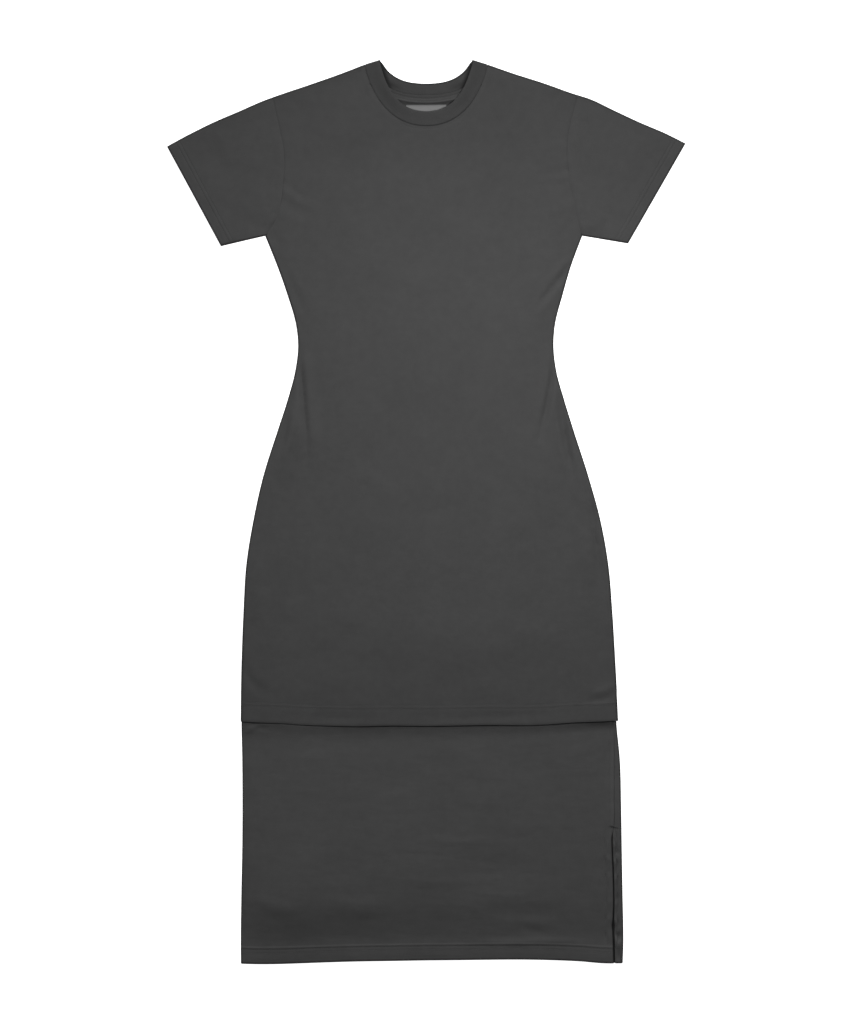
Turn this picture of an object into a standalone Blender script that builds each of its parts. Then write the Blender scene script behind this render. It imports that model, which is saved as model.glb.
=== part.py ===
"""A short-sleeved jersey dress, laid flat on its back.

The body is cut like a long fitted T-shirt, with a ribbed round neck. Its hem comes at three
quarters of the length, over an underskirt whose seam at the wearer's left opens in a slit.

Frame: metres, X across the dress towards the wearer's left, Y from hem to neck and Z up from
the surface that the dress lies on. The origin is under the middle of the laid dress.
Every size and table below is in millimetres.
"""

import math
from typing import NamedTuple

import bmesh
import bpy
import numpy as np

MM = 0.001

# Cloth and seams
CLOTH = 1.0
RIB = 1.8
SEAM_GAP = 0.3
LAY_GAP = 0.3
LAP = CLOTH + LAY_GAP
ARMPIT_CLEARANCE = 0.4

# Heights of the laid tubes, from their lower face to their upper face
BODICE_HEIGHT = 4.0
UNDERSKIRT_HEIGHT = 3.0
TUNIC_HEM_HEIGHT = UNDERSKIRT_HEIGHT + 4 * LAP
UNDERSKIRT_HEM_HEIGHT = 6.0
CUFF_HEIGHT = 5.8

# Levels along the dress
ARMPIT = 387.0
TUNIC_HEM = -300.0
TUNIC_TURN_UP = 27.0
TUNIC_HEM_RISE = 7.7
UNDERSKIRT_TOP = -230.0
UNDERSKIRT_HEM = -627.0
UNDERSKIRT_TURN_UP = 20.0
UNDERSKIRT_HEM_DROP = 4.7
UNDERSKIRT_HEM_BEND = (110.0, 250.0)
CUFF_TURN_UP = 18.0

# Stretches where the laid height changes, lower level first
TUNIC_SLOPES = [(-262.0, -200.0)]
UNDERSKIRT_SLOPES = [(-603.0, -572.0), (-330.0, -302.0), (-268.0, -234.0)]
SLEEVE_SLOPE = (70.0, 24.0)
HEM_CURVE_REACH = 120.0

# Side seam of the underskirt that is rolled to the front, and the slit that opens in it
SEAM_ROLL_AT_TUNIC = 6.5
SEAM_ROLL_AT_SLIT = 12.0
SLIT_TOP = -448.0
SLIT_WIDTH = 3.0
SLIT_TAPER = 25.0

# Neck pieces inside the back
TAPE_WIDTH = 12.0
TAPE_SHARE = 0.78
LABEL_WIDTH = 56.0
LABEL_LENGTH = 24.0
SEAT = CLOTH + LAY_GAP + CLOTH / 2

# Facets
CURVE_STEPS = 80
EDGE_STEPS = 2
FLANK_GAP = SEAM_GAP + CLOTH * math.sin(math.pi / 4 / EDGE_STEPS)
HEM_STEPS = 4
ARMHOLE_STEPS = 8
NECK_STEPS = 16
BACK_NECK_STEPS = 10
SHOULDER_STEPS = 3
SLEEVE_STEPS = 5
SLOPE_STEPS = 3
UNDERSKIRT_FRONT_SPANS = 12
UNDERSKIRT_BACK_SPANS = 8
TAPE_STEPS = 10
ROW_PITCH = 30.0


class Side(NamedTuple):
    """Left and right edge of the laid outline at one level."""

    y: float
    left: float
    right: float


class Shoulder(NamedTuple):
    """Level of the upper outline, on the left and on the right, at a distance from the middle."""

    out: float
    left: float
    right: float


class NeckCurve(NamedTuple):
    """Half of a neck curve: its end, the pull of its handles and its lowest point."""

    half_width: float
    top: float
    pull_in: float
    pull_down: float
    pull_flat: float
    bottom: float


class Fold(NamedTuple):
    """Soft ridge in a front: its line, its half width and its height."""

    from_x: float
    from_y: float
    to_x: float
    to_y: float
    spread: float
    height: float


TUNIC_SIDES = [
    Side(ARMPIT, -225.5, 218.5),
    Side(346, -209.0, 202.0),
    Side(304, -194.0, 189.5),
    Side(262, -182.7, 179.2),
    Side(235, -179.8, 177.2),
    Side(199, -183.3, 180.8),
    Side(157, -194.3, 192.0),
    Side(115, -208.0, 205.0),
    Side(52, -228.0, 225.5),
    Side(-11, -242.3, 242.6),
    Side(-74, -252.0, 254.2),
    Side(-137, -256.0, 259.4),
    Side(-221, -259.0, 264.2),
    Side(TUNIC_HEM, -260.1, 267.0),
]

UNDERSKIRT_SIDES = [
    Side(UNDERSKIRT_TOP, -255.6, 260.6),
    Side(-292, -257.0, 263.7),
    Side(-347, -257.7, 269.8),
    Side(-410, -257.3, 272.0),
    Side(-473, -257.9, 273.0),
    Side(-536, -259.0, 273.9),
    Side(-599, -259.9, 275.0),
    Side(-632, -259.6, 273.8),
]

ARMHOLES = [
    Side(ARMPIT, -225.5, 218.5),
    Side(410, -211.0, 212.5),
    Side(441, -202.5, 206.0),
    Side(477, -199.3, 199.8),
    Side(505, -199.2, 197.5),
    Side(533, -204.5, 199.8),
    Side(560, -210.5, 206.0),
    Side(582, -215.0, 212.2),
]

SHOULDERS = [
    Shoulder(86.4, 626.8, 626.8),
    Shoulder(120, 613.8, 615.0),
    Shoulder(165, 598.0, 600.6),
    Shoulder(205, 584.5, 586.4),
    Shoulder(230, 575.4, 578.5),
    Shoulder(260, 562.3, 564.2),
    Shoulder(300, 545.0, 545.5),
    Shoulder(335, 527.5, 530.5),
    Shoulder(362, 512.8, 517.0),
]

CUFF_CORNERS = {
    "left": ((-362.0, 512.8), (-286.6, 374.5)),
    "right": ((362.0, 517.0), (282.2, 376.9)),
}

NECK_CURVES = {
    "front_seam": NeckCurve(86.4, 626.8, 5.3, 20.7, 62.8, 541.6),
    "front_edge": NeckCurve(65.6, 632.0, 6.0, 26.3, 46.1, 560.9),
    "back_seam": NeckCurve(86.4, 626.8, 12.0, 10.0, 66.0, 584.6),
    "back_edge": NeckCurve(65.6, 632.0, 7.9, 2.3, 60.2, 599.1),
}

TUNIC_FOLDS = [
    Fold(-184, 447, -122, 416, 15, 2.2),
    Fold(-199, 368, -168, 272, 17, 2.4),
    Fold(190, 332, 152, 288, 15, 2.0),
    Fold(-162, 222, -158, 142, 20, 2.4),
    Fold(163, 236, 182, 86, 22, 2.2),
    Fold(-240, -196, -214, -238, 14, 2.0),
    Fold(236, -190, 214, -248, 16, 1.8),
]

UNDERSKIRT_FOLDS = [
    Fold(-238, -566, -96, -582, 22, 2.2),
    Fold(-112, -470, -100, -520, 26, 1.8),
    Fold(-60, -360, 10, -404, 30, 1.6),
    Fold(238, -338, 196, -372, 15, 2.2),
    Fold(120, -560, 214, -590, 22, 1.8),
]


def ramp(value, start, end):
    """0 at start and 1 at end, easing at both."""
    share = np.clip((np.asarray(value, float) - start) / (end - start), 0, 1)
    return share * share * (3 - 2 * share)


def read(rows, key, column, at):
    """Smooth curve through one column of a table, read where its key column is at."""
    ordered = sorted(rows, key=lambda row: getattr(row, key))
    knots = np.array([getattr(row, key) for row in ordered], float)
    values = np.array([getattr(row, column) for row in ordered], float)
    slopes = np.gradient(values, knots)
    at = np.asarray(at, float)
    low = np.clip(np.searchsorted(knots, at) - 1, 0, len(knots) - 2)
    step = knots[low + 1] - knots[low]
    share = (at - knots[low]) / step
    rest = 1 - share
    ends = values[low] * rest**2 * (1 + 2 * share) + values[low + 1] * share**2 * (1 + 2 * rest)
    return ends + step * share * rest * (slopes[low] * rest - slopes[low + 1] * share)


def shoulder_level(x):
    """Level of the upper outline at x."""
    out = np.abs(np.asarray(x, float))
    left = read(SHOULDERS, "out", "left", out)
    right = read(SHOULDERS, "out", "right", out)
    return np.where(np.asarray(x) < 0, left, right)


def neck_line(name, steps):
    """Points of a neck curve from left to right, evenly spaced along it."""
    curve = NECK_CURVES[name]
    knots = np.array([
        (-curve.half_width, curve.top),
        (-curve.half_width + curve.pull_in, curve.top - curve.pull_down),
        (-curve.pull_flat, curve.bottom),
        (0, curve.bottom),
    ])
    t = np.linspace(0, 1, CURVE_STEPS)[:, None]
    weights = ((1 - t) ** 3, 3 * (1 - t) ** 2 * t, 3 * (1 - t) * t**2, t**3)
    half = sum(weight * knot for weight, knot in zip(weights, knots))
    line = np.vstack([half, half[-2::-1] * (-1, 1)])
    return along(line, np.linspace(0, 1, steps + 1))


def along(line, shares):
    """Points of a polyline at shares of its length."""
    lengths = np.hypot(*np.diff(line, axis=0).T)
    travelled = np.concatenate([[0], np.cumsum(lengths)]) / lengths.sum()
    return np.stack([np.interp(shares, travelled, line[:, axis]) for axis in (0, 1)], axis=-1)


def beside(line, distance):
    """A left-to-right polyline moved down, or away from the neck, by a distance."""
    forward = np.gradient(line, axis=0)
    forward /= np.hypot(forward[:, 0], forward[:, 1])[:, None]
    return line + np.stack([forward[:, 1], -forward[:, 0]], axis=-1) * distance


def distance_to(points, lines):
    """Distance in plan from each point to the nearest of some polylines."""
    nearest = np.full(points.shape[:-1], np.inf)
    for line in lines:
        for start, end in zip(line[:-1], line[1:]):
            run = end - start
            share = np.clip((points - start) @ run / (run @ run), 0, 1)
            apart = points - start - share[..., None] * run
            nearest = np.minimum(nearest, np.hypot(apart[..., 0], apart[..., 1]))
    return nearest


def below_fold(end, beyond, distance):
    """Point of a neck line's last stretch that lies a distance below the neck's fold."""
    seam, edge = NECK_CURVES["front_seam"], NECK_CURVES["front_edge"]
    fold = np.array([seam.half_width - edge.half_width, edge.top - seam.top])
    fold /= np.hypot(*fold)
    run = beyond - end
    sunk = abs(run[0]) * fold[1] - run[1] * fold[0]
    return end + run * distance / sunk


def armhole_line(side):
    """The armhole seam from armpit to shoulder."""
    tip = float(shoulder_level(getattr(ARMHOLES[-1], side)))
    levels = np.linspace(ARMPIT, tip, ARMHOLE_STEPS + 1)
    return np.stack([read(ARMHOLES, "y", side, levels), levels], axis=-1)


def outline_lines():
    """The folds that bound the body and the sleeves in plan: flanks, underarms and shoulders."""
    lines = []
    levels = np.linspace(TUNIC_HEM, ARMPIT, CURVE_STEPS)
    for side, sign in (("left", -1), ("right", 1)):
        flank = np.stack([read(TUNIC_SIDES, "y", side, levels), levels], axis=-1)
        cuff_low = CUFF_CORNERS[side][1]
        lines.append(np.vstack([flank, [cuff_low]]))
        x = sign * np.linspace(SHOULDERS[0].out, SHOULDERS[-1].out, CURVE_STEPS)
        top = np.stack([x, shoulder_level(x)], axis=-1)
        edge = NECK_CURVES["front_edge"]
        lines.append(np.vstack([[(sign * edge.half_width, edge.top)], top]))
    return lines


def turned(distance, radius, depth):
    """How far a folded edge has turned: 0 on the flat and 1 at the fold."""
    across = np.clip((radius - distance) / (radius - depth), 0, 1)
    return 1 - np.sqrt(1 - across**2)


def edge_offsets(radius, depth):
    """Distances from the fold to the columns of a folded edge."""
    angles = np.linspace(0, math.pi / 2, EDGE_STEPS + 1)
    return radius - (radius - depth) * np.cos(angles)


def fold_lift(plan, folds):
    """Height that soft ridges add to a front at each point of its plan."""
    lift = np.zeros(plan.shape[:-1])
    for fold in folds:
        start = np.array([fold.from_x, fold.from_y])
        end = np.array([fold.to_x, fold.to_y])
        reach = distance_to(plan, [np.array([start, end])]) / fold.spread
        lift += fold.height * (1 - ramp(reach, 0, 1))
    return lift


def hem_rows(turn_up):
    """Rows of a turned-up hem, from its raw edge round the fold: height and depth of each."""
    inner = CLOTH / 2 + LAP
    rows = [(turn_up, inner), (turn_up / 2, inner)]
    for step in range(HEM_STEPS + 1):
        angle = math.pi * step / HEM_STEPS
        height = CLOTH / 2 + LAP / 2 * (1 - math.sin(angle))
        rows.append((height, CLOTH / 2 + LAP / 2 * (1 + math.cos(angle))))
    return rows


def tunic_top(y):
    """Upper face of the body at level y, over the underskirt and the hem."""
    low, high = TUNIC_SLOPES[0]
    return BODICE_HEIGHT + (TUNIC_HEM_HEIGHT - BODICE_HEIGHT) * ramp(y, high, low)


def underskirt_levels(y):
    """Lower and upper face of the underskirt at level y."""
    at_hem, below_tunic, inside_tunic = UNDERSKIRT_SLOPES
    inside = LAP + LAP * ramp(y, inside_tunic[1], inside_tunic[0])
    outside = 2 * LAP * (1 - ramp(y, below_tunic[1], below_tunic[0]))
    low = np.where(y > below_tunic[1], inside, outside)
    hem_height = (UNDERSKIRT_HEM_HEIGHT - UNDERSKIRT_HEIGHT) * ramp(y, at_hem[1], at_hem[0])
    high = low + UNDERSKIRT_HEIGHT + hem_height
    sewn = ramp(y, inside_tunic[0], UNDERSKIRT_TOP)
    return low, high + (tunic_top(y) - LAP - high) * sewn


def tunic_hem_level(x):
    """Rise of the body's hem line towards its corners."""
    return TUNIC_HEM_RISE * np.clip(np.abs(x) / -TUNIC_SIDES[-1].left, 0, 1) ** 5


def underskirt_hem_level(x):
    """Drop of the underskirt's hem line towards its corners."""
    return -UNDERSKIRT_HEM_DROP * ramp(np.abs(x), *UNDERSKIRT_HEM_BEND)


def skirt_rows(hem, turn_up, top, slopes):
    """Rows of a laid tube, from its hem to a level: height over the hem line and depth.

    A slope is a stretch where the tube's height changes, given by its lower and upper level.
    """
    rows = hem_rows(turn_up)
    stops = [hem, hem + turn_up] + [level for slope in slopes for level in slope] + [top]
    for low, high in zip(stops[:-1], stops[1:]):
        pitch = (high - low) / SLOPE_STEPS if (low, high) in slopes else ROW_PITCH
        count = math.ceil((high - low) / pitch)
        for step in range(1, count + 1):
            rows.append((low + (high - low) * step / count - hem, CLOTH / 2))
    return rows


def flank_columns(left, right, radius, depth, spans):
    """X of a row's columns: a folded edge at each side and even spans between them."""
    offsets = edge_offsets(radius, depth)
    middle = np.linspace(left + radius, right - radius, spans + 1)[1:-1]
    return np.concatenate([left + offsets, middle, right - offsets[::-1]])


def tunic_plan(neck_name, neck_steps):
    """Plan and depth of a body panel's points, row by row from the hem to the shoulders."""
    spans = neck_steps + 2 * SHOULDER_STEPS
    radius = (BODICE_HEIGHT - FLANK_GAP) / 2
    rows = []
    depths = []
    for height, depth in skirt_rows(TUNIC_HEM, TUNIC_TURN_UP, ARMPIT, TUNIC_SLOPES):
        level = TUNIC_HEM + height
        row_radius = float(tunic_top(level) - FLANK_GAP) / 2
        left = float(read(TUNIC_SIDES, "y", "left", level))
        right = float(read(TUNIC_SIDES, "y", "right", level))
        x = flank_columns(left, right, row_radius, depth, spans)
        rise = tunic_hem_level(x) * (1 - ramp(height, 0, HEM_CURVE_REACH))
        rows.append(np.stack([x, level + rise], axis=-1))
        depths.append(depth)

    offsets = edge_offsets(radius, CLOTH / 2)
    columns = len(rows[-1])
    edge = EDGE_STEPS + 1
    left_seam, right_seam = armhole_line("left"), armhole_line("right")

    top = np.zeros((columns, 2))
    shift = SEAM_GAP / 2 + offsets - offsets[0]
    top[:edge, 0] = left_seam[-1, 0] + shift
    top[-edge:, 0] = right_seam[-1, 0] - shift[::-1]
    neck = beside(neck_line(neck_name, neck_steps), SEAM_GAP / 2)
    first = EDGE_STEPS + SHOULDER_STEPS
    left_x = np.linspace(top[EDGE_STEPS, 0], neck[0, 0], SHOULDER_STEPS + 1)
    right_x = np.linspace(neck[-1, 0], top[-edge, 0], SHOULDER_STEPS + 1)
    top[EDGE_STEPS:first + 1, 0] = left_x
    top[-first - 1:-EDGE_STEPS, 0] = right_x
    top[:, 1] = shoulder_level(np.where(top[:, 0] == 0, SHOULDERS[0].out, top[:, 0])) - offsets[0]
    top[first:first + neck_steps + 1] = neck
    top[[first, first + neck_steps], 1] -= offsets[0]

    downward = np.tile((0.0, -1.0), (columns, 1))
    downward[first:first + neck_steps + 1] = beside(neck, 1) - neck
    for corner in (first, first + neck_steps):
        downward[corner] += (0, -1)
        downward[corner] /= np.hypot(*downward[corner])
    shoulder = top + downward * (radius - offsets[0])
    bottom = rows[-1]
    share = np.clip(np.linspace(-EDGE_STEPS / spans, 1 + EDGE_STEPS / spans, columns), 0, 1)[:, None]
    for step in range(1, ARMHOLE_STEPS):
        v = step / ARMHOLE_STEPS
        row = (1 - v) * bottom + v * shoulder
        row += (1 - share) * (left_seam[step] + (shift[-1], 0) - row[EDGE_STEPS])
        row += share * (right_seam[step] - (shift[-1], 0) - row[-edge])
        row[:edge, 1] = left_seam[step, 1]
        row[-edge:, 1] = right_seam[step, 1]
        rows.append(row)
    for offset in offsets[::-1]:
        rows.append(top + downward * (offset - offsets[0]))
    for row in rows[-ARMHOLE_STEPS - EDGE_STEPS:]:
        row[:edge, 0] = np.interp(row[:edge, 1], left_seam[:, 1], left_seam[:, 0]) + shift
        row[-edge:, 0] = np.interp(row[-edge:, 1], right_seam[:, 1], right_seam[:, 0]) - shift[::-1]
    depths += [CLOTH / 2] * (len(rows) - len(depths))
    return np.array(rows), np.array(depths)


def laid_wall(plan, depths, low, high, lines, is_front):
    """Points of a wall in the upper or lower half of a laid tube."""
    radius = (high - low - FLANK_GAP) / 2
    depth = depths[:, None]
    drop = (radius - depth) * turned(distance_to(plan, lines), radius, depth)
    z = high - depth - drop if is_front else low + depth + drop
    return np.concatenate([plan, z[..., None]], axis=-1)


def underskirt_lines():
    """The folds that bound the underskirt in plan."""
    levels = np.linspace(UNDERSKIRT_SIDES[-1].y, UNDERSKIRT_TOP, CURVE_STEPS)
    return [np.stack([read(UNDERSKIRT_SIDES, "y", side, levels), levels], axis=-1)
            for side in ("left", "right")]


def slit_edges(y):
    """X of the two edges of the rolled seam: shut above the slit, open below."""
    widening = SEAM_ROLL_AT_SLIT - SEAM_ROLL_AT_TUNIC
    roll = SEAM_ROLL_AT_TUNIC + widening * ramp(y, TUNIC_HEM, SLIT_TOP)
    seam = read(UNDERSKIRT_SIDES, "y", "right", y) - roll
    opening = SEAM_GAP / 2 + (SLIT_WIDTH - SEAM_GAP) / 2 * ramp(y, SLIT_TOP, SLIT_TOP - SLIT_TAPER)
    return seam - opening, seam + opening


def underskirt_rows():
    """Rows of the underskirt, from its hem to its upper edge."""
    return skirt_rows(UNDERSKIRT_HEM, UNDERSKIRT_TURN_UP, UNDERSKIRT_TOP, UNDERSKIRT_SLOPES)


def underskirt_front_points():
    """Points of the underskirt's front, from its left flank to the rolled seam."""
    rows = []
    depths = []
    for height, depth in underskirt_rows():
        level = UNDERSKIRT_HEM + height
        low, high = underskirt_levels(level)
        radius = float(high - low - FLANK_GAP) / 2
        left = float(read(UNDERSKIRT_SIDES, "y", "left", level))
        edge = left + edge_offsets(radius, depth)
        seam = float(slit_edges(level)[0])
        x = np.concatenate([edge, np.linspace(edge[-1], seam, UNDERSKIRT_FRONT_SPANS + 1)[1:]])
        drop = underskirt_hem_level(x) * (1 - ramp(height, 0, HEM_CURVE_REACH))
        rows.append(np.stack([x, level + drop], axis=-1))
        depths.append(depth)
    plan = np.array(rows)
    depths = np.array(depths)
    low, high = underskirt_levels(plan[..., 1])
    points = laid_wall(plan, depths, low, high, underskirt_lines(), True)
    points[..., 2] += fold_lift(plan, UNDERSKIRT_FOLDS)
    return points


def underskirt_back_points():
    """Points of the underskirt's back, round the right flank to the rolled seam."""
    quarter_turn = np.linspace(0, math.pi / 2, EDGE_STEPS + 1)
    half_turn = np.linspace(-math.pi / 2, math.pi / 2, 2 * EDGE_STEPS + 1)
    points = []
    for height, depth in underskirt_rows():
        level = UNDERSKIRT_HEM + height
        low, high = (float(value) for value in underskirt_levels(level))
        left = float(read(UNDERSKIRT_SIDES, "y", "left", level))
        right = float(read(UNDERSKIRT_SIDES, "y", "right", level))
        radius = (high - low - FLANK_GAP) / 2
        left_x = left + edge_offsets(radius, depth)
        left_z = low + depth + (radius - depth) * (1 - np.sin(quarter_turn))
        round_radius = (high - low) / 2
        turn_x = right - round_radius + (round_radius - depth) * np.cos(half_turn)
        turn_z = low + round_radius + (round_radius - depth) * np.sin(half_turn)
        seam = float(slit_edges(level)[1])
        middle = np.linspace(left_x[-1], turn_x[0], UNDERSKIRT_BACK_SPANS + 1)[1:-1]
        x = np.concatenate([left_x, middle, turn_x, [seam]])
        z = np.concatenate([left_z, np.full(len(middle), low + depth), turn_z, [high - depth]])
        y = level + underskirt_hem_level(x) * (1 - ramp(height, 0, HEM_CURVE_REACH))
        points.append(np.stack([x, y, z], axis=-1))
    return np.array(points)


def sleeve_points(side):
    """Points of a sleeve: rings round the laid tube, from the armhole to the turned-up cuff."""
    outward = -1 if side == "left" else 1
    cuff_top, cuff_low = (np.array(corner) for corner in CUFF_CORNERS[side])
    cuff = (cuff_low - cuff_top) / np.hypot(*(cuff_low - cuff_top))
    square = np.array([cuff[1], -cuff[0]]) * outward
    seam = armhole_line(side)[::-1] + (outward * SEAM_GAP / 2, 0)
    seam[-1] += (outward * ARMPIT_CLEARANCE, ARMPIT_CLEARANCE)
    stations = (seam[0, 1] - seam[:, 1]) / (seam[0, 1] - seam[-1, 1])
    upper = (seam[0] - cuff_top) / ((seam[0] - cuff_top) @ square)
    under = (seam[-1] - cuff_low) / ((seam[-1] - cuff_low) @ square)

    def across(shares, reach, part):
        """Points across the sleeve, part of the way from the seam to a reach above the cuff."""
        shares = np.asarray(shares, float)
        high = np.stack([np.interp(shares, stations, seam[:, axis]) for axis in (0, 1)], axis=-1)
        share = shares[:, None]
        low = cuff_top + (cuff_low - cuff_top) * share + (upper + (under - upper) * share) * reach
        return high + (low - high) * part

    rings = [(CUFF_TURN_UP, step / SLEEVE_STEPS, CLOTH / 2) for step in range(SLEEVE_STEPS + 1)]
    rings.append((CUFF_TURN_UP / 2, 1, CLOTH / 2))
    rings += [(height, 1, depth) for height, depth in reversed(hem_rows(CUFF_TURN_UP))]
    angles = np.linspace(0, math.pi / 2, EDGE_STEPS + 1)
    flat = np.ones(len(stations) - 2)
    turn = np.concatenate([np.sin(angles), flat, np.sin(angles[::-1])])
    points = []
    for reach, part, depth in rings:
        top, centre, bottom = across([0, 0.5, 1], reach, part)
        width = np.hypot(*(bottom - top))
        slope = ramp((centre - cuff_top) @ square, *SLEEVE_SLOPE)
        radius = float(BODICE_HEIGHT + (CUFF_HEIGHT - BODICE_HEIGHT) * slope) / 2
        offsets = edge_offsets(radius, depth) / width
        shares = np.concatenate([offsets, stations[1:-1], 1 - offsets[::-1]])
        plan = across(shares, reach, part)
        plan[:, 1] += (shoulder_level(top[0]) - top[1]) * (1 - shares) ** 3
        front = np.column_stack([plan, radius + (radius - depth) * turn])
        back = np.column_stack([plan, radius - (radius - depth) * turn])[-2:0:-1]
        points.append(np.concatenate([front, back, front[:1]]))
    return np.array(points)


def neck_bands(radius):
    """Front and back half of the neck band: the seam line and the edge line of each."""
    bands = []
    for half, steps in (("front", NECK_STEPS), ("back", BACK_NECK_STEPS)):
        lines = [neck_line(half + "_seam", steps), neck_line(half + "_edge", steps)]
        for line in lines:
            line[0] = below_fold(line[0], line[1], radius)
            line[-1] = below_fold(line[-1], line[-2], radius)
        bands.append((beside(lines[0], -SEAM_GAP / 2), lines[1]))
    return bands


def neck_rib_points():
    """Points of the folded rib: sections across the band, all the way round the neck."""
    half = RIB / 2
    bend = (BODICE_HEIGHT - CLOTH / 2 - half) / 2
    middle = half + bend
    (front_seam, front_edge), (back_seam, back_edge) = neck_bands(bend + half)
    quarter = math.pi / 2
    turn = np.linspace(quarter, -quarter, 2 * EDGE_STEPS + 1)[1:-1]
    shares = np.linspace(0, 1, len(turn) + 2)[1:-1]

    spots = [(seam, edge, quarter) for seam, edge in zip(front_seam, front_edge)]
    for share, angle in zip(shares, turn):
        seam = front_seam[-1] + (back_seam[-1] - front_seam[-1]) * share
        spots.append((seam, front_edge[-1] + (back_edge[-1] - front_edge[-1]) * share, angle))
    spots += [(seam, edge, -quarter) for seam, edge in zip(back_seam[::-1], back_edge[::-1])]
    for share, angle in zip(shares, -turn):
        seam = back_seam[0] + (front_seam[0] - back_seam[0]) * share
        spots.append((seam, back_edge[0] + (front_edge[0] - back_edge[0]) * share, angle))

    bevel = 0.3 * half
    sections = []
    for seam, edge, angle in spots:
        width = np.hypot(*(edge - seam))
        profile = [(0, half), (width - half, half), (width - bevel, half - bevel), (width, 0),
                   (width - bevel, bevel - half), (width - half, -half), (0, -half)]
        section = []
        for reach, proud in profile:
            x, y = seam + (edge - seam) * reach / width
            out = (bend + proud) * math.cos(angle)
            section.append((x, y + out, middle + (bend + proud) * math.sin(angle)))
        sections.append(section + section[:1])
    return np.array(sections + sections[:1])


def neck_tape_points():
    """Points of the tape that covers the back neck seam."""
    shares = 0.5 + TAPE_SHARE * (np.linspace(0, 1, TAPE_STEPS + 1) - 0.5)
    line = along(neck_line("back_seam", CURVE_STEPS), shares)
    upper = beside(line, CLOTH / 2)
    lower = beside(line, CLOTH / 2 + TAPE_WIDTH)
    plan = np.array([lower, upper])
    return np.concatenate([plan, np.full(plan.shape[:-1] + (1,), SEAT)], axis=-1)


def neck_label_points():
    """Corner points of the bare label under the tape."""
    top = NECK_CURVES["back_seam"].bottom - CLOTH / 2 - TAPE_WIDTH - SEAM_GAP
    rows = []
    for y in (top - LABEL_LENGTH, top):
        rows.append([(x, y, SEAT) for x in (-LABEL_WIDTH / 2, LABEL_WIDTH / 2)])
    return np.array(rows)


def make_material(name, colour, roughness):
    """A Principled material of one colour."""
    material = bpy.data.materials.new(name)
    material.use_nodes = True
    shader = material.node_tree.nodes["Principled BSDF"]
    shader.inputs["Base Color"].default_value = (*colour, 1)
    shader.inputs["Roughness"].default_value = roughness
    shader.inputs["Metallic"].default_value = 0
    return material


def make_piece(collection, name, points, colour, thickness=CLOTH):
    """A named piece: a grid laid on its points, thickened evenly where it is one layer."""
    rows, columns = points.shape[0] - 1, points.shape[1] - 1
    sheet = bmesh.new()
    bmesh.ops.create_grid(sheet, x_segments=columns, y_segments=rows, size=1)
    for vertex in sheet.verts:
        column = round((vertex.co.x + 1) / 2 * columns)
        row = round((vertex.co.y + 1) / 2 * rows)
        vertex.co = points[row, column] * MM
    bmesh.ops.remove_doubles(sheet, verts=sheet.verts, dist=0.00001)
    bmesh.ops.recalc_face_normals(sheet, faces=sheet.faces)
    mesh = bpy.data.meshes.new(name)
    sheet.to_mesh(mesh)
    sheet.free()
    mesh.materials.append(make_material(name, colour, 0.9))
    mesh.shade_smooth()
    piece = bpy.data.objects.new(name, mesh)
    collection.objects.link(piece)
    if thickness:
        wall = piece.modifiers.new("Cloth", "SOLIDIFY")
        wall.thickness = thickness * MM
        wall.offset = 0
        wall.use_even_offset = True
        wall.use_quality_normals = True
    return piece


JERSEY = (0.061, 0.061, 0.062)
RIBBING = (0.056, 0.056, 0.057)
TAPE = (0.052, 0.052, 0.053)
LABEL = (0.32, 0.32, 0.32)


def build():
    """The whole dress."""
    for old in list(bpy.data.objects):
        bpy.data.objects.remove(old)
    dress = bpy.data.collections.new("laid_dress")
    bpy.context.scene.collection.children.link(dress)
    lines = outline_lines()

    plan, depths = tunic_plan("front_seam", NECK_STEPS)
    points = laid_wall(plan, depths, 0, tunic_top(plan[..., 1]), lines, True)
    points[..., 2] += fold_lift(plan, TUNIC_FOLDS)
    make_piece(dress, "tunic_front", points, JERSEY)

    plan, depths = tunic_plan("back_seam", BACK_NECK_STEPS)
    points = laid_wall(plan, depths, 0, tunic_top(plan[..., 1]), lines, False)
    make_piece(dress, "tunic_back", points, JERSEY)

    make_piece(dress, "sleeve_left", sleeve_points("right"), JERSEY)
    make_piece(dress, "sleeve_right", sleeve_points("left"), JERSEY)
    make_piece(dress, "underskirt_front", underskirt_front_points(), JERSEY)
    make_piece(dress, "underskirt_back", underskirt_back_points(), JERSEY)
    make_piece(dress, "neck_rib", neck_rib_points(), RIBBING, thickness=0)
    make_piece(dress, "neck_tape", neck_tape_points(), TAPE)
    make_piece(dress, "neck_label", neck_label_points(), LABEL)


build()
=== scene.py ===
"""Looks of a short-sleeved jersey dress, laid flat on its back.

Every piece of cloth is a thin shell laid on the form of the piece that it stands for, with its
hems really turned up, its seams sunk and its creases given one by one. The sewing is made thread
by thread. Sizes are in millimetres, X towards the wearer's left, Y from hem to neck and Z up;
the meshes are in metres.
"""

import logging
import math
from dataclasses import dataclass
from enum import Enum
from typing import Callable, NamedTuple, Sequence

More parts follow.
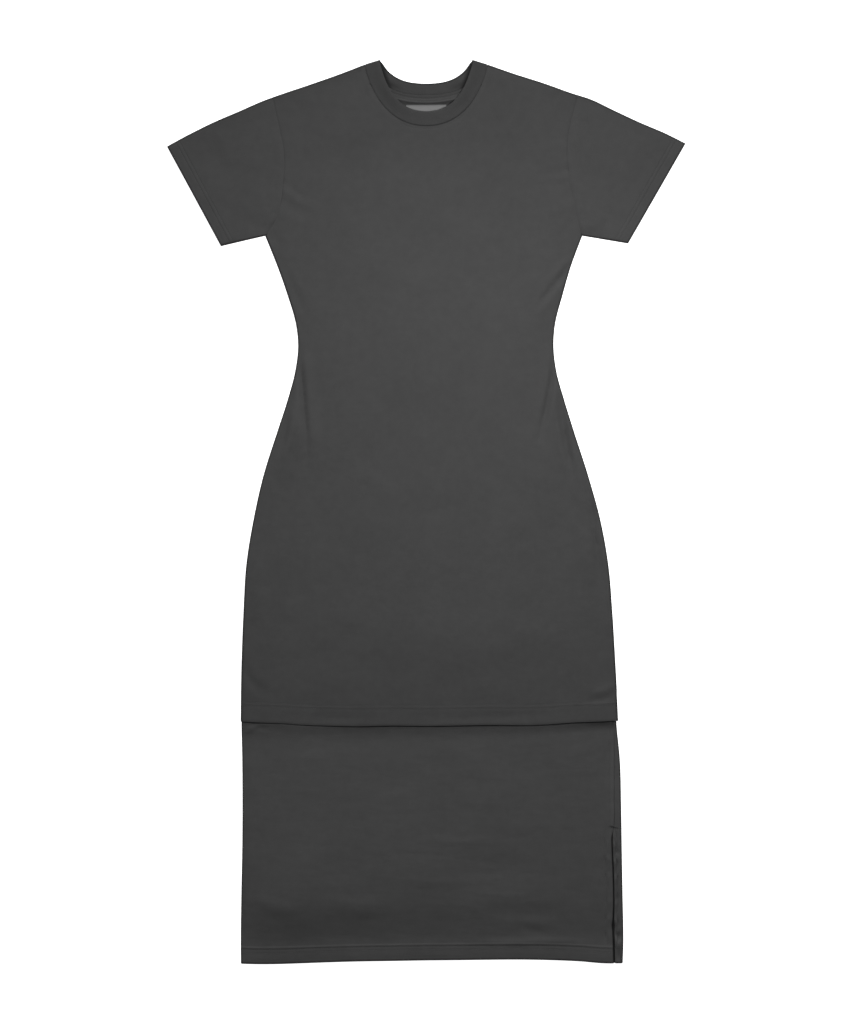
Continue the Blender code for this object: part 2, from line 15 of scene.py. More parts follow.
import bpy
import numpy as np
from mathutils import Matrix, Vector


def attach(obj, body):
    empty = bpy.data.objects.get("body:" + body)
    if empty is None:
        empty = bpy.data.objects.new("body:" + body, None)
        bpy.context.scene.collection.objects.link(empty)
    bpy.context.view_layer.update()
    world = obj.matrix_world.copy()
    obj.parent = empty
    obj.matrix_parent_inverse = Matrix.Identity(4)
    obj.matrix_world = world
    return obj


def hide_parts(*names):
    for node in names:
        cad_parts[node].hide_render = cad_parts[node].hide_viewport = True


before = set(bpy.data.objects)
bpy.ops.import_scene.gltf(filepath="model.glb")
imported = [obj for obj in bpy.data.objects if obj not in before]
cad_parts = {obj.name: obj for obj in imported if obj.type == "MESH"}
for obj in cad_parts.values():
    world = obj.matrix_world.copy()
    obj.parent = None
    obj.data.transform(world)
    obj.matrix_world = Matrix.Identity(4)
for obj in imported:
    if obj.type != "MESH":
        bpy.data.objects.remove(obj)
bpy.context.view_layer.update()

LOG = logging.getLogger("dress")
Array = np.ndarray
Socket = bpy.types.NodeSocket
Pair = tuple[float, float]
Steps = tuple[float, ...]

# A millimetre in metres
MM = 0.001
# Thickness of the jersey, distance between the two layers of a fold, and room that a layer takes
CLOTH = 0.8
FOLD = 0.95
LAY = 1.0
# Space between two sewn edges, so that their walls never share a place
SEAM_GAP = 0.06
# Distances from a folded edge within which creases die out and swells round off
CREASE_EDGE = 9.0
SWELL_EDGE = 40.0
# Least distance between a row of points and the close rows at a stitch
ROW_SPACE = 1.2
# Points of a mesh that are closer than this, in metres, are one
MERGE = 0.00001
# Edges sharper than this stay sharp
SHARP_EDGE = math.radians(50)
# Spans of a curve that others are measured from
CURVE_STEPS = 80
# Height past every hem, for rows that have none or don't show
HIDDEN = 99.0


class Side(NamedTuple):
    """Left and right edge of the laid outline at one level."""

    y: float
    left: float
    right: float


class Flank(Enum):
    """The two sides of the dress as it is seen, each with its column of the tables."""

    LEFT = "left"
    RIGHT = "right"

    @property
    def outward(self) -> int:
        """The way out of the dress along X."""
        return -1 if self is Flank.LEFT else 1

    def at(self, rows: Sequence[Side], level: Array | float) -> Array:
        """X of this side at some levels."""
        return read(rows, "y", self.value, level)


class Shoulder(NamedTuple):
    """Level of the upper outline at a distance from the middle, on both sides."""

    out: float
    left: float
    right: float


class NeckCurve(NamedTuple):
    """Half of a neck curve: its end, the pull of its handles and its lowest point."""

    half_width: float
    top: float
    pull_in: float
    pull_down: float
    pull_flat: float
    bottom: float

    def line(self, steps: int) -> Array:
        """The whole curve.

        Args:
            steps: Spans of the line.

        Returns:
            Its points from left to right, evenly spaced along it.
        """
        knots = np.array([
            (-self.half_width, self.top),
            (-self.half_width + self.pull_in, self.top - self.pull_down),
            (-self.pull_flat, self.bottom),
            (0, self.bottom),
        ])
        t = np.linspace(0, 1, CURVE_STEPS)[:, None]
        weights = ((1 - t) ** 3, 3 * (1 - t) ** 2 * t, 3 * (1 - t) * t**2, t**3)
        half = sum(weight * knot for weight, knot in zip(weights, knots))
        return along(np.vstack([half, half[-2::-1] * (-1, 1)]), np.linspace(0, 1, steps + 1))


class Place(NamedTuple):
    """A value at a place along a line."""

    at: float
    value: float


class Overhang(NamedTuple):
    """How the underskirt lies at one place along the body's hem, just below it, and the painted shadow that
    the hem casts on it there.
    """

    at: float
    start: float
    bulge: float
    reach: float
    shade: float
    shade_reach: float


class Ridge(NamedTuple):
    """A low ridge beside a line, or a groove where it is below zero: its distance, reach, height."""

    at: float
    reach: float
    height: float


class Wave(NamedTuple):
    """One slow undulation of the cloth: its length, direction in degrees, height and shift."""

    length: float
    heading: float
    height: float
    shift: float

    def lift(self, plan: Array) -> Array:
        """Height that the wave adds at some points in plan."""
        angle = math.radians(self.heading)
        run = plan[..., 0] * math.cos(angle) + plan[..., 1] * math.sin(angle)
        return self.height * np.sin(2 * math.pi * run / self.length + self.shift)


class Fade(NamedTuple):
    """A strength that is whole up to one distance and fades to nothing at another."""

    strength: float
    start: float
    end: float

    def at(self, distance: Array | float) -> Array:
        """The strength at a distance."""
        return self.strength * (1 - ramp(distance, self.start, self.end))


TUNIC_SIDES = [Side(*row) for row in (
    (387, -225.5, 218.5), (346, -209.0, 203.2), (304, -194.2, 191.0), (262, -182.2, 180.3),
    (235, -179.4, 178.3), (199, -183.2, 182.0), (157, -194.2, 193.4), (115, -207.8, 206.4),
    (52, -227.8, 226.7), (-11, -242.0, 244.0), (-74, -252.0, 255.2), (-137, -255.8, 260.5),
    (-221, -258.8, 265.4), (-300, -259.8, 269.2),
)]

UNDERSKIRT_SIDES = [Side(*row) for row in (
    (-230, -255.6, 261.8), (-292, -258.5, 266.0), (-347, -257.7, 271.3), (-410, -257.3, 273.0),
    (-473, -257.7, 274.0), (-536, -258.9, 275.1), (-599, -259.7, 276.1), (-632, -259.4, 275.0),
)]

ARMHOLES = [Side(*row) for row in (
    (387, -225.5, 218.5), (410, -211.0, 212.5), (441, -202.5, 206.0), (477, -199.3, 199.8),
    (505, -199.2, 197.5), (533, -204.5, 199.8), (560, -210.5, 206.0), (582, -215.0, 212.2),
)]

SHOULDERS = [Shoulder(*row) for row in (
    (86.4, 626.8, 626.8), (120, 613.8, 615.0), (165, 598.0, 600.6), (205, 584.5, 586.4),
    (230, 575.4, 578.5), (260, 562.3, 564.2), (300, 545.0, 545.5), (335, 527.5, 530.5),
    (362, 512.8, 517.0),
)]

TUNIC_HEM_LINE = [Place(*row) for row in (
    (-260, -293.2), (-240, -294.4), (-220, -295.2), (-200, -295.9), (-170, -298.2), (-140, -299.0),
    (-100, -299.9), (-50, -299.0), (0, -299.5), (48, -298.8), (90, -298.1), (149, -298.3),
    (182, -296.5), (205, -294.7), (233, -293.6), (270, -292.0),
)]

# The last two columns are the strength and reach of the painted shadow under the body's hem
UNDER_THE_HEM = [Overhang(*row) for row in (
    (-238, 2.2, 0.5, 26, 0.16, 8), (-226, 1.0, 1.2, 26, 0.06, 8), (-165, 1.0, 1.2, 24, 0.08, 8),
    (-130, 2.0, 0.6, 22, 0.24, 9), (-60, 2.2, 0.55, 18, 0.4, 9), (80, 2.2, 0.55, 18, 0.4, 9),
    (150, 2.2, 0.6, 13, 0.16, 7), (210, 2.2, 0.4, 12, 0.14, 5), (244, 2.2, 0.15, 12, 0.48, 16),
)]

UNDERSKIRT_HEM_LINE = [Place(*row) for row in (
    (-260, -632.1), (-229, -632.6), (-204, -632.3), (-176, -631.4), (-134, -629.9), (-92, -628.8),
    (-43, -628.1), (0, -627.4), (41, -627.0), (76, -626.6), (132, -626.2), (188, -627.4),
    (216, -628.7), (244, -631.1), (276, -631.2),
)]

ROLLED_SEAM = [Place(*row) for row in (
    (-230, 256.0), (-270, 260.5), (-302, 263.4), (-324, 263.6), (-400, 263.2), (-438, 262.9),
    (-453, 260.4), (-470, 260.6), (-500, 261.8), (-545, 262.8), (-578, 262.0), (-608, 262.9),
    (-632, 263.4),
)]

CUFF_CORNERS = {
    Flank.LEFT: ((-363.2, 512.6), (-287.4, 372.4)),
    Flank.RIGHT: ((363.2, 516.2), (282.6, 376.2)),
}

FRONT_SEAM = NeckCurve(86.4, 626.8, 5.3, 20.7, 62.8, 541.6)
FRONT_EDGE = NeckCurve(65.6, 633.0, 6.0, 27.3, 46.1, 560.9)
BACK_SEAM = NeckCurve(86.4, 626.8, 12.0, 10.0, 66.0, 584.6)
BACK_EDGE = NeckCurve(65.6, 633.0, 7.9, 3.3, 57.0, 600.3)


def ramp(value: Array | float, start: float, end: float) -> Array:
    """0 at start and 1 at end, easing at both."""
    share = np.clip((np.asarray(value, float) - start) / (end - start), 0, 1)
    return share * share * (3 - 2 * share)


def bell(reach: Array) -> Array:
    """1 at zero, falling smoothly to 0 at a reach of one."""
    return np.clip(1 - reach**2, 0, 1) ** 2


def ridges(distance: Array, rows: Sequence[Ridge]) -> Array:
    """Height that some ridges add at a distance from the line that they lie beside."""
    return sum(row.height * bell((distance - row.at) / row.reach) for row in rows)


def hermite(knots: Array, values: Array, at: Array) -> Array:
    """Smooth curve through values at knots, read at some places.

    Args:
        knots: Rising places, at least two.
        values: The curve's value at each.
        at: Where it is read.

    Returns:
        Its values there.
    """
    slopes = np.gradient(values, knots)
    low = np.clip(np.searchsorted(knots, at) - 1, 0, len(knots) - 2)
    step = knots[low + 1] - knots[low]
    share = (at - knots[low]) / step
    rest = 1 - share
    ends = values[low] * rest**2 * (1 + 2 * share) + values[low + 1] * share**2 * (1 + 2 * rest)
    return ends + step * share * rest * (slopes[low] * rest - slopes[low + 1] * share)


def read(rows: Sequence[NamedTuple], key: str, column: str, at: Array | float) -> Array:
    """Smooth curve through one column of a table, placed by its key column, at some places."""
    ordered = sorted(rows, key=lambda row: getattr(row, key))
    knots, values = (np.array([getattr(row, name) for row in ordered], float) for name in (key, column))
    return hermite(knots, values, np.asarray(at, float))


def smooth_line(corners: Sequence[Pair], steps: int = 6) -> Array:
    """A smooth polyline through a few hand-placed points."""
    knots = np.arange(len(corners), dtype=float)
    at = np.linspace(0, len(corners) - 1, steps * (len(corners) - 1) + 1)
    return np.stack([hermite(knots, axis, at) for axis in np.array(corners, float).T], axis=-1)


def span_lengths(line: Array) -> Array:
    """Length of each span of a polyline."""
    return np.linalg.norm(np.diff(line, axis=0), axis=1)


def along(line: Array, shares: Array, values: Array | None = None) -> Array:
    """Reads a polyline at shares of its length.

    Args:
        line: Its points.
        shares: Where it is read, from 0 at its start to 1 at its end.
        values: Values at its points, read in place of them.

    Returns:
        A point, or a row of values, for each share.
    """
    lengths = span_lengths(line)
    travelled = np.concatenate([[0], np.cumsum(lengths)]) / lengths.sum()
    columns = (line if values is None else values).T
    return np.stack([np.interp(shares, travelled, column) for column in columns], axis=-1)


def beside(line: Array, distance: float) -> Array:
    """A polyline from left to right, moved some distance down, or away from the neck."""
    forward = np.gradient(line, axis=0)
    forward /= np.hypot(forward[:, 0], forward[:, 1])[:, None]
    return line + np.stack([forward[:, 1], -forward[:, 0]], axis=-1) * distance


def nearest(points: Array, line: Array) -> tuple[Array, Array, Array]:
    """Where some points lie against a polyline, in plan.

    Args:
        points: Points of any shape, with X and Y last.
        line: The polyline's points.

    Returns:
        Each point's distance, its side (1 on the left) and its share of the line's length.
    """
    distance = np.full(points.shape[:-1], np.inf)
    side = np.zeros_like(distance)
    share = np.zeros_like(distance)
    lengths = span_lengths(line)
    passed = np.concatenate([[0], np.cumsum(lengths)])
    for index, (start, end) in enumerate(zip(line[:-1], line[1:])):
        run = end - start
        part = np.clip((points - start) @ run / (run @ run), 0, 1)
        apart = points - start - part[..., None] * run
        here = np.hypot(apart[..., 0], apart[..., 1])
        closer = here < distance
        distance = np.where(closer, here, distance)
        side = np.where(closer, np.sign(run[0] * apart[..., 1] - run[1] * apart[..., 0]), side)
        share = np.where(closer, (passed[index] + part * lengths[index]) / passed[-1], share)
    return distance, side, share


def unit(vectors: Array) -> Array:
    """Vectors brought to a length of one."""
    return vectors / np.linalg.norm(vectors, axis=-1, keepdims=True)


def surface_normals(points: Array) -> Array:
    """Unit normals of a grid of points."""
    return unit(np.cross(np.gradient(points, axis=1), np.gradient(points, axis=0)))


def cloth_area(points: Array) -> float:
    """Area of a grid of points in square metres."""
    one = np.cross(points[1:, 1:] - points[:-1, :-1], points[1:, :-1] - points[:-1, 1:])
    return float(np.linalg.norm(one, axis=-1).sum() / 2) * MM * MM


@dataclass(frozen=True)
class Crease:
    """A soft ridge in the cloth, or a trough where its height is below zero.

    One that leans is steeper on one side, and one that is open at its start comes out of a
    seam at its full height.
    """

    corners: tuple[Pair, ...]
    spread: float
    height: float
    lean: float = 0.0
    open_start: bool = False

    def lift(self, plan: Array) -> Array:
        """Height that the crease adds.

        Args:
            plan: Points in plan.

        Returns:
            The height at each point.
        """
        distance, side, share = nearest(plan, smooth_line(self.corners))
        reach = distance / (self.spread * (1 + self.lean * side))
        ends = ramp(1 - share, 0, 0.4)
        if not self.open_start:
            ends = ends * ramp(share, 0, 0.4)
        return self.height * bell(reach) * ends


@dataclass(frozen=True)
class Hollow:
    """A shallow dip in the cloth, or a swell where its depth is below zero.

    One that leans is longer above its centre than below it.
    """

    centre: Pair
    reach: Pair
    depth: float
    heading: float = 0.0
    lean: float = 0.0

    def lift(self, plan: Array) -> Array:
        """Height that the hollow adds.

        Args:
            plan: Points in plan.

        Returns:
            The height at each point.
        """
        angle = math.radians(self.heading)
        away = plan - np.array(self.centre)
        long = away[..., 0] * math.cos(angle) + away[..., 1] * math.sin(angle)
        short = away[..., 1] * math.cos(angle) - away[..., 0] * math.sin(angle)
        up = self.reach[1] * (1 + self.lean * np.sign(short))
        return -self.depth * np.exp(-((long / self.reach[0]) ** 2) - (short / up) ** 2)


@dataclass(frozen=True)
class Seam:
    """A sewn seam: the cloth sinks into it and rises over the allowances beside it."""

    line: Array
    sink: float
    width: float
    ridge: Ridge = Ridge(1.0, 1.0, 0.0)

    def lift(self, plan: Array) -> Array:
        """Height that the seam adds at some points in plan."""
        distance = nearest(plan, self.line)[0]
        groove = -self.sink * np.clip(1 - distance / self.width, 0, 1) ** 2
        return groove + ridges(distance, [self.ridge])


Folds = Sequence[Crease | Hollow]


def relief(plan: Array, folds: Folds, waves: Sequence[Wave], away: Array) -> Array:
    """Height that the creases, hollows and waves of a panel add.

    Args:
        plan: Its points in plan.
        folds: Its creases and hollows.
        waves: Its slow waves.
        away: Each point's distance from the folded edges, where all of it dies out.

    Returns:
        The height at each point.
    """
    close = ramp(away, 0, CREASE_EDGE)
    rounded = np.sqrt(1 - (1 - np.clip(away / SWELL_EDGE, 0, 1)) ** 2)
    lift = sum(wave.lift(plan) for wave in waves) * close
    for fold in folds:
        lift = lift + fold.lift(plan) * (rounded if isinstance(fold, Hollow) else close)
    return lift


class Wiring:
    """Short-hand for adding and joining the nodes of a material or a world."""

    def __init__(self, owner: bpy.types.Material | bpy.types.World, shader: str = "Principled BSDF") -> None:
        """Takes the nodes' owner and the name of the node that shades it."""
        owner.use_nodes = True
        self.tree = owner.node_tree
        self.shader = self.tree.nodes[shader]
        self.places = self.add("TexCoord").outputs

    def add(self, kind: str, **settings: object) -> bpy.types.Node:
        """Adds a node.

        Args:
            kind: Its kind, without the words that all shader nodes share.
            settings: Some of its settings.

        Returns:
            The node.
        """
        node = self.tree.nodes.new("ShaderNode" + kind)
        for name, value in settings.items():
            setattr(node, name, value)
        return node

    def fill(self, node: bpy.types.Node, inputs: dict[str | int, object]) -> bpy.types.Node:
        """Fills some of a node's inputs.

        Args:
            node: The node.
            inputs: An output or a value for each input, by its name or number.

        Returns:
            The node.
        """
        for name, value in inputs.items():
            if isinstance(value, Socket):
                self.tree.links.new(value, node.inputs[name])
            else:
                node.inputs[name].default_value = value
        return node

    def work(self, operation: str, *values: Socket | float) -> Socket:
        """Adds a Math node over some outputs or numbers, and returns its output."""
        return self.fill(self.add("Math", operation=operation), dict(enumerate(values))).outputs[0]

    def wave(self, turns: Socket) -> Socket:
        """Adds a sine wave of some turns, and returns its height."""
        return self.work("SINE", self.work("MULTIPLY", turns, 2 * math.pi))

    def noise(self, scale: float, detail: float, place: Socket | None = None) -> Socket:
        """Adds a noise texture, read at the point's own place or at another, and returns its value."""
        place = self.places["Object"] if place is None else place
        inputs = {"Scale": scale, "Detail": detail, "Vector": place}
        return self.fill(self.add("TexNoise"), inputs).outputs["Fac"]

    def bump(self, height: Socket, distance: float, strength: float,
             below: Socket | None = None) -> Socket:
        """Adds a Bump node.

        Args:
            height: The height, from 0 to 1.
            distance: Metres that a height of 1 stands out.
            strength: Share of it that shows.
            below: The normal under the bump.

        Returns:
            The node's normal.
        """
        inputs = {"Distance": distance, "Strength": strength, "Height": height}
        if below is not None:
            inputs["Normal"] = below
        return self.fill(self.add("Bump"), inputs).outputs["Normal"]


class Texture(Enum):
    """How the threads of a cloth lie."""

    KNIT = "knit"
    TWILL = "twill"
    SATIN = "satin"
    TWIST = "twist"


class Blotches(NamedTuple):
    """Uneven dye: how fine its blotches are, their detail, and their share of the whole."""

    scale: float
    detail: float
    share: float


CLOUDS = Blotches(14, 3, 0.38)
PATCHES = Blotches(90, 2, 0.38)
HEATHER = Blotches(800, 2, 0.24)


@dataclass(frozen=True)
class Finish:
    """The look of one kind of cloth or thread, which is grey throughout."""

    name: str
    grey: float
    texture: Texture
    pitch: Pair
    relief: float
    roughness: float = 0.85
    specular: float = 0.25
    sheen: float = 0.04
    mottle: float = 0.09
    wrinkle: float = 0.0
    stretch: float = 0.8

    def material(self) -> bpy.types.Material:
        """The finish's material, made the first time that it is asked for."""
        made = bpy.data.materials.get(self.name)
        if made is not None:
            return made
        made = bpy.data.materials.new(self.name)
        wiring = Wiring(made)
        self._colour(wiring)
        folded = self._wrinkles(wiring) if self.wrinkle else None
        height = self._threads(wiring)
        normal = wiring.bump(height, self.relief * MM, 0.6, folded)
        wiring.fill(wiring.shader, {"Normal": normal})
        self._gloss(wiring, height)
        return made

    def _colour(self, wiring: Wiring) -> None:
        """Slow clouds and a fine heather in the dye, darkened by the painted shade of the shade attribute at
        folds, slits and under the hems.

        Args:
            wiring: The material's wiring.
        """
        mixed = wiring.work("MULTIPLY", wiring.noise(PATCHES.scale, PATCHES.detail), PATCHES.share)
        for dye in (CLOUDS, HEATHER):
            mixed = wiring.work("MULTIPLY_ADD", wiring.noise(dye.scale, dye.detail), dye.share, mixed)
        greys = wiring.fill(wiring.add("ValToRGB"), {"Fac": mixed})
        for stop, position, change in zip(greys.color_ramp.elements, (0.3, 0.7), (-1, 1)):
            tone = self.grey * (1 + change * self.mottle)
            stop.position = position
            stop.color = (tone, tone, tone, 1)
        # Painted shade and highlight: the shade attribute darkens the dye where shade falls, and lightens it
        # where it is below zero
        shade = wiring.add("Attribute", attribute_name="shade").outputs["Fac"]
        dyed_and_shaded = wiring.fill(wiring.add("VectorMath", operation="SCALE"), {
            "Vector": greys.outputs["Color"], "Scale": wiring.work("SUBTRACT", 1, shade)})
        wiring.fill(wiring.shader, {"Base Color": dyed_and_shaded.outputs["Vector"]})

    def _wrinkles(self, wiring: Wiring) -> Socket:
        """Fine wrinkles that run across the dress.

        Args:
            wiring: The material's wiring.

        Returns:
            The wrinkled normal.
        """
        turned = wiring.fill(wiring.add("Mapping"), {
            "Scale": (self.stretch, 1.0, 1.0), "Rotation": (0, 0, math.radians(3)),
            "Vector": wiring.places["Object"]}).outputs["Vector"]
        swells = wiring.bump(wiring.noise(34, 2, turned), 3.2 * self.wrinkle * MM, 1.0)
        wrinkles = wiring.work("MULTIPLY", wiring.noise(120, 3, turned), wiring.noise(7, 1))
        return wiring.bump(wrinkles, self.wrinkle * MM, 1.0, swells)

    def _threads(self, wiring: Wiring) -> Socket:
        """The threads, which follow the cloth's own flat pattern and stray a little from it.

        Args:
            wiring: The material's wiring.

        Returns:
            The threads' height.
        """
        flat = wiring.add("UVMap", uv_map="Cloth").outputs["UV"]
        split = wiring.fill(wiring.add("SeparateXYZ"), {"Vector": flat})
        stray = wiring.work("MULTIPLY_ADD", wiring.noise(260, 2), 0.5, -0.25)
        across, up = (wiring.work("MULTIPLY_ADD", split.outputs[axis], 1 / (pitch * MM), stray)
                      for axis, pitch in zip("XY", self.pitch))
        if self.texture is Texture.KNIT:
            aside = wiring.work("ABSOLUTE", wiring.work("SUBTRACT", wiring.work("FRACT", across), 0.5))
            edge = wiring.work("MULTIPLY", aside, 2)
            loops = wiring.wave(wiring.work("MULTIPLY_ADD", edge, 0.6, up))
            wale = wiring.work("SUBTRACT", 1, wiring.work("POWER", edge, 2))
            return wiring.work("MULTIPLY_ADD", loops, 0.22, wiring.work("MULTIPLY", wale, 0.7))
        if self.texture is Texture.SATIN:
            return wiring.work("MULTIPLY_ADD", wiring.wave(across), 0.3, wiring.wave(up))
        slant = 1.0 if self.texture is Texture.TWILL else 1.5
        return wiring.wave(wiring.work("MULTIPLY_ADD", across, slant, up))

    def _gloss(self, wiring: Wiring, height: Socket) -> None:
        """Roughness, a little higher between the threads of some height, and the nap's sheen."""
        spread = wiring.fill(wiring.add("MapRange"), {
            "To Min": min(self.roughness + 0.08, 1), "To Max": self.roughness - 0.05, "Value": height})
        wiring.fill(wiring.shader, {
            "Roughness": spread.outputs["Result"], "Specular IOR Level": self.specular,
            "Sheen Weight": self.sheen, "Sheen Roughness": 0.5, "Sheen Tint": (0.8, 0.8, 0.8, 1)})


JERSEY = Finish("charcoal_jersey", 0.058, Texture.KNIT, (0.9, 0.75), 0.09, wrinkle=0.3)
# The same jersey with its own wrinkles, in a lighter grey: painted light that brightens the underskirt
BRIGHTENED_CREASED_JERSEY = Finish("charcoal_jersey_of_underskirt", 0.0675, Texture.KNIT, (0.9, 0.75), 0.09,
                        wrinkle=0.32, stretch=0.4)
RIBBING = Finish("charcoal_ribbing", 0.050, Texture.KNIT, (1.05, 0.8), 0.09)
TAPE = Finish("charcoal_tape", 0.052, Texture.TWILL, (0.9, 0.9), 0.08, roughness=0.75)
LABEL = Finish("grey_satin_label", 0.20, Texture.SATIN, (0.5, 0.35), 0.03, roughness=0.5,
               specular=0.4, mottle=0.03)
# A little darker than the other thread: painted shade for the dent that the bar tack sits in
TACK = Finish("dark_tack_thread", 0.050, Texture.TWIST, (0.3, 0.5), 0.05, roughness=0.8)
THREAD = Finish("charcoal_thread", 0.058, Texture.TWIST, (0.3, 0.5), 0.05, roughness=0.6,
                specular=0.4)


def deselect() -> None:
    """Leaves nothing selected, so that an operator acts on the next piece alone."""
    bpy.ops.object.select_all(action="DESELECT")


def flat_map(points: Array) -> Array:
    """Where each point of a grid lies on the uncreased cloth.

    Args:
        points: The grid's points, row by row.

    Returns:
        Distance across the cloth from its middle column, and along it, in metres.
    """
    middle = (points.shape[1] - 1) // 2
    up, across = (np.cumsum(np.linalg.norm(np.diff(points, axis=axis), axis=-1), axis=axis)
                  for axis in (0, 1))
    up = np.concatenate([np.zeros((1, points.shape[1])), up])
    across = np.concatenate([np.zeros((len(points), 1)), across], axis=1)
    return np.stack([across - across[:, [middle]], up], axis=-1) * MM


def fold_shade(distance: Array | float, strength: float = 0.6, reach: Array | float = 2.9) -> Array:
    """Painted shade: how much darker the cloth is at a distance from a fold, from 0 to 1."""
    return strength * (1 - ramp(distance, 0.3, reach))


def outline_shade(distance: Array, level: Array) -> Array:
    """Painted shade beside the folded outline, which reaches further at the shoulders."""
    return fold_shade(distance, reach=2.9 + 1.3 * ramp(level, 440, 520))


def edit_all() -> None:
    """Opens the active piece in edit mode, with all of it selected."""
    bpy.ops.object.mode_set(mode="EDIT")
    bpy.ops.mesh.select_all(action="SELECT")


def lay_sheet(name: str, points: Array, shade: Array, thickness: float = CLOTH) -> bpy.types.Object:
    """Makes one piece of cloth.

    Args:
        name: The piece's name.
        points: The middle of the cloth, row by row.
        shade: Painted shade, how much darker it is at each point, from 0 to 1; below zero, a painted
            highlight.
        thickness: Its thickness.

    Returns:
        The piece, a closed wall round those points.
    """
    rows, columns = points.shape[0] - 1, points.shape[1] - 1
    deselect()
    bpy.ops.mesh.primitive_grid_add(x_subdivisions=columns, y_subdivisions=rows, size=2)
    piece = bpy.context.active_object
    mesh = piece.data
    piece.name = mesh.name = name
    start = np.empty(len(mesh.vertices) * 3, np.float32)
    mesh.vertices.foreach_get("co", start)
    column, row, _ = np.rint((start.reshape(-1, 3) + 1) / 2 * (columns, rows, 0)).astype(int).T
    mesh.vertices.foreach_set("co", (points[row, column] * MM).astype(np.float32).ravel())
    # The painted shade goes in the shade attribute, which the material darkens the colour by
    folds = mesh.attributes.new("shade", "FLOAT", "POINT")
    folds.data.foreach_set("value", shade[row, column].astype(np.float32))
    corners = np.empty(len(mesh.loops), np.int32)
    mesh.loops.foreach_get("vertex_index", corners)
    flat = flat_map(points)[row[corners], column[corners]]
    layer = mesh.uv_layers.active
    layer.name = "Cloth"
    layer.data.foreach_set("uv", flat.astype(np.float32).ravel())
    mesh.update()
    edit_all()
    bpy.ops.mesh.remove_doubles(threshold=MERGE)
    bpy.ops.object.mode_set(mode="OBJECT")
    bpy.ops.object.modifier_add(type="SOLIDIFY")
    wall = piece.modifiers[-1]
    wall.thickness = thickness * MM
    wall.offset = 0
    wall.use_quality_normals = True
    bpy.ops.object.modifier_apply(modifier=wall.name)
    bpy.ops.object.shade_smooth_by_angle(angle=SHARP_EDGE)
    return piece


def hand_over(piece: bpy.types.Object, finish: Finish, slot: str, *nodes: str) -> None:
    """Dresses a piece, makes it ride on the dress and stand for its nodes.

    Args:
        piece: The piece.
        finish: Its finish.
        slot: The finish's slot in the record; not used.
        nodes: The nodes that it stands for.
    """
    piece.data.materials.clear()
    piece.data.materials.append(finish.material())
    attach(piece, "root")
    if nodes:
        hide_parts(*nodes)
    LOG.info("%s: %d faces", piece.name, len(piece.data.polygons))


class Run(NamedTuple):
    """A line that a seam is sewn along: its points and the way out of the cloth at each."""

    points: Array
    outward: Array


def face_run(points: Array, normals: Array, thickness: float = CLOTH) -> Run:
    """The line on the face of the cloth over points of its middle, whose normals point out."""
    return Run(points + normals * thickness / 2, normals)


@dataclass(frozen=True)
class Sewing:
    """Machine stitches, one raised thread after the other."""

    name: str
    pitch: float = 3.1
    length: float = 2.6
    thickness: float = 0.5
    crosswise: bool = False
    sides: int = 6
    rings: int = 5
    bulge: float = 0.35

    def _thread(self) -> tuple[Array, list[list[int]]]:
        """Models one stitch about the origin, along X, and returns its points and faces."""
        deselect()
        bpy.ops.mesh.primitive_uv_sphere_add(segments=self.sides, ring_count=self.rings, radius=1)
        stitch = bpy.context.active_object
        edit_all()
        bpy.ops.transform.rotate(value=math.pi / 2, orient_axis="Y", center_override=(0, 0, 0))
        half = self.thickness / 2
        bpy.ops.transform.resize(value=(self.length / 2, half, half))
        bpy.ops.object.mode_set(mode="OBJECT")
        points = np.array([vertex.co for vertex in stitch.data.vertices])
        swell = 1 + self.bulge * np.sign(points[:, 0]) * bell(points[:, 0] / self.length * 2)
        points[:, 1:] *= np.abs(swell)[:, None] ** 0.5
        faces = [list(face.vertices) for face in stitch.data.polygons]
        bpy.data.objects.remove(stitch)
        return points, faces

    def _row(self, run: Run, thread: Array) -> Array:
        """The stitches of one run.

        Args:
            run: The line to sew along.
            thread: The points of one stitch about the origin.

        Returns:
            Their points, stitch by stitch.
        """
        length = span_lengths(run.points).sum()
        count = max(int(length // self.pitch), 1)
        middles = (np.arange(count) + 0.5) / count
        reach = 0.5 * self.pitch / length
        centre = along(run.points, middles)
        forward = unit(along(run.points, middles + reach) - along(run.points, middles - reach))
        up = unit(along(run.points, middles, run.outward))
        side = unit(np.cross(up, forward))
        if self.crosswise:
            forward, side = side, -forward
        return np.einsum("vk,nkx->nvx", thread, np.stack([forward, side, up], axis=1)) + centre[:, None]

    def sew(self, runs: Sequence[Run], finish: Finish = THREAD, slot: str = "jersey") -> None:
        """Sews along some runs, all the stitches as one piece.

        Args:
            runs: The lines to sew along.
            finish: The thread's finish.
            slot: Its slot in the record.
        """
        thread, faces = self._thread()
        points = np.concatenate([self._row(run, thread) for run in runs])
        every = [[index * len(thread) + corner for corner in face]
                 for index in range(len(points)) for face in faces]
        mesh = bpy.data.meshes.new(self.name)
        mesh.from_pydata((points.reshape(-1, 3) * MM).tolist(), [], every)
        corners = [corner for face in faces for corner in face]
        own = np.tile(thread[corners][:, :2] * MM, (len(points), 1))
        mesh.uv_layers.new(name="Cloth").data.foreach_set("uv", own.astype(np.float32).ravel())
        mesh.shade_smooth()
        piece = bpy.data.objects.new(self.name, mesh)
        bpy.context.scene.collection.objects.link(piece)
        hand_over(piece, finish, slot)


def spaced(rows: Sequence[float], close: Sequence[float]) -> list[float]:
    """The rows that keep clear of some close rows."""
    return [row for row in rows if min(abs(row - near) for near in close) > ROW_SPACE]


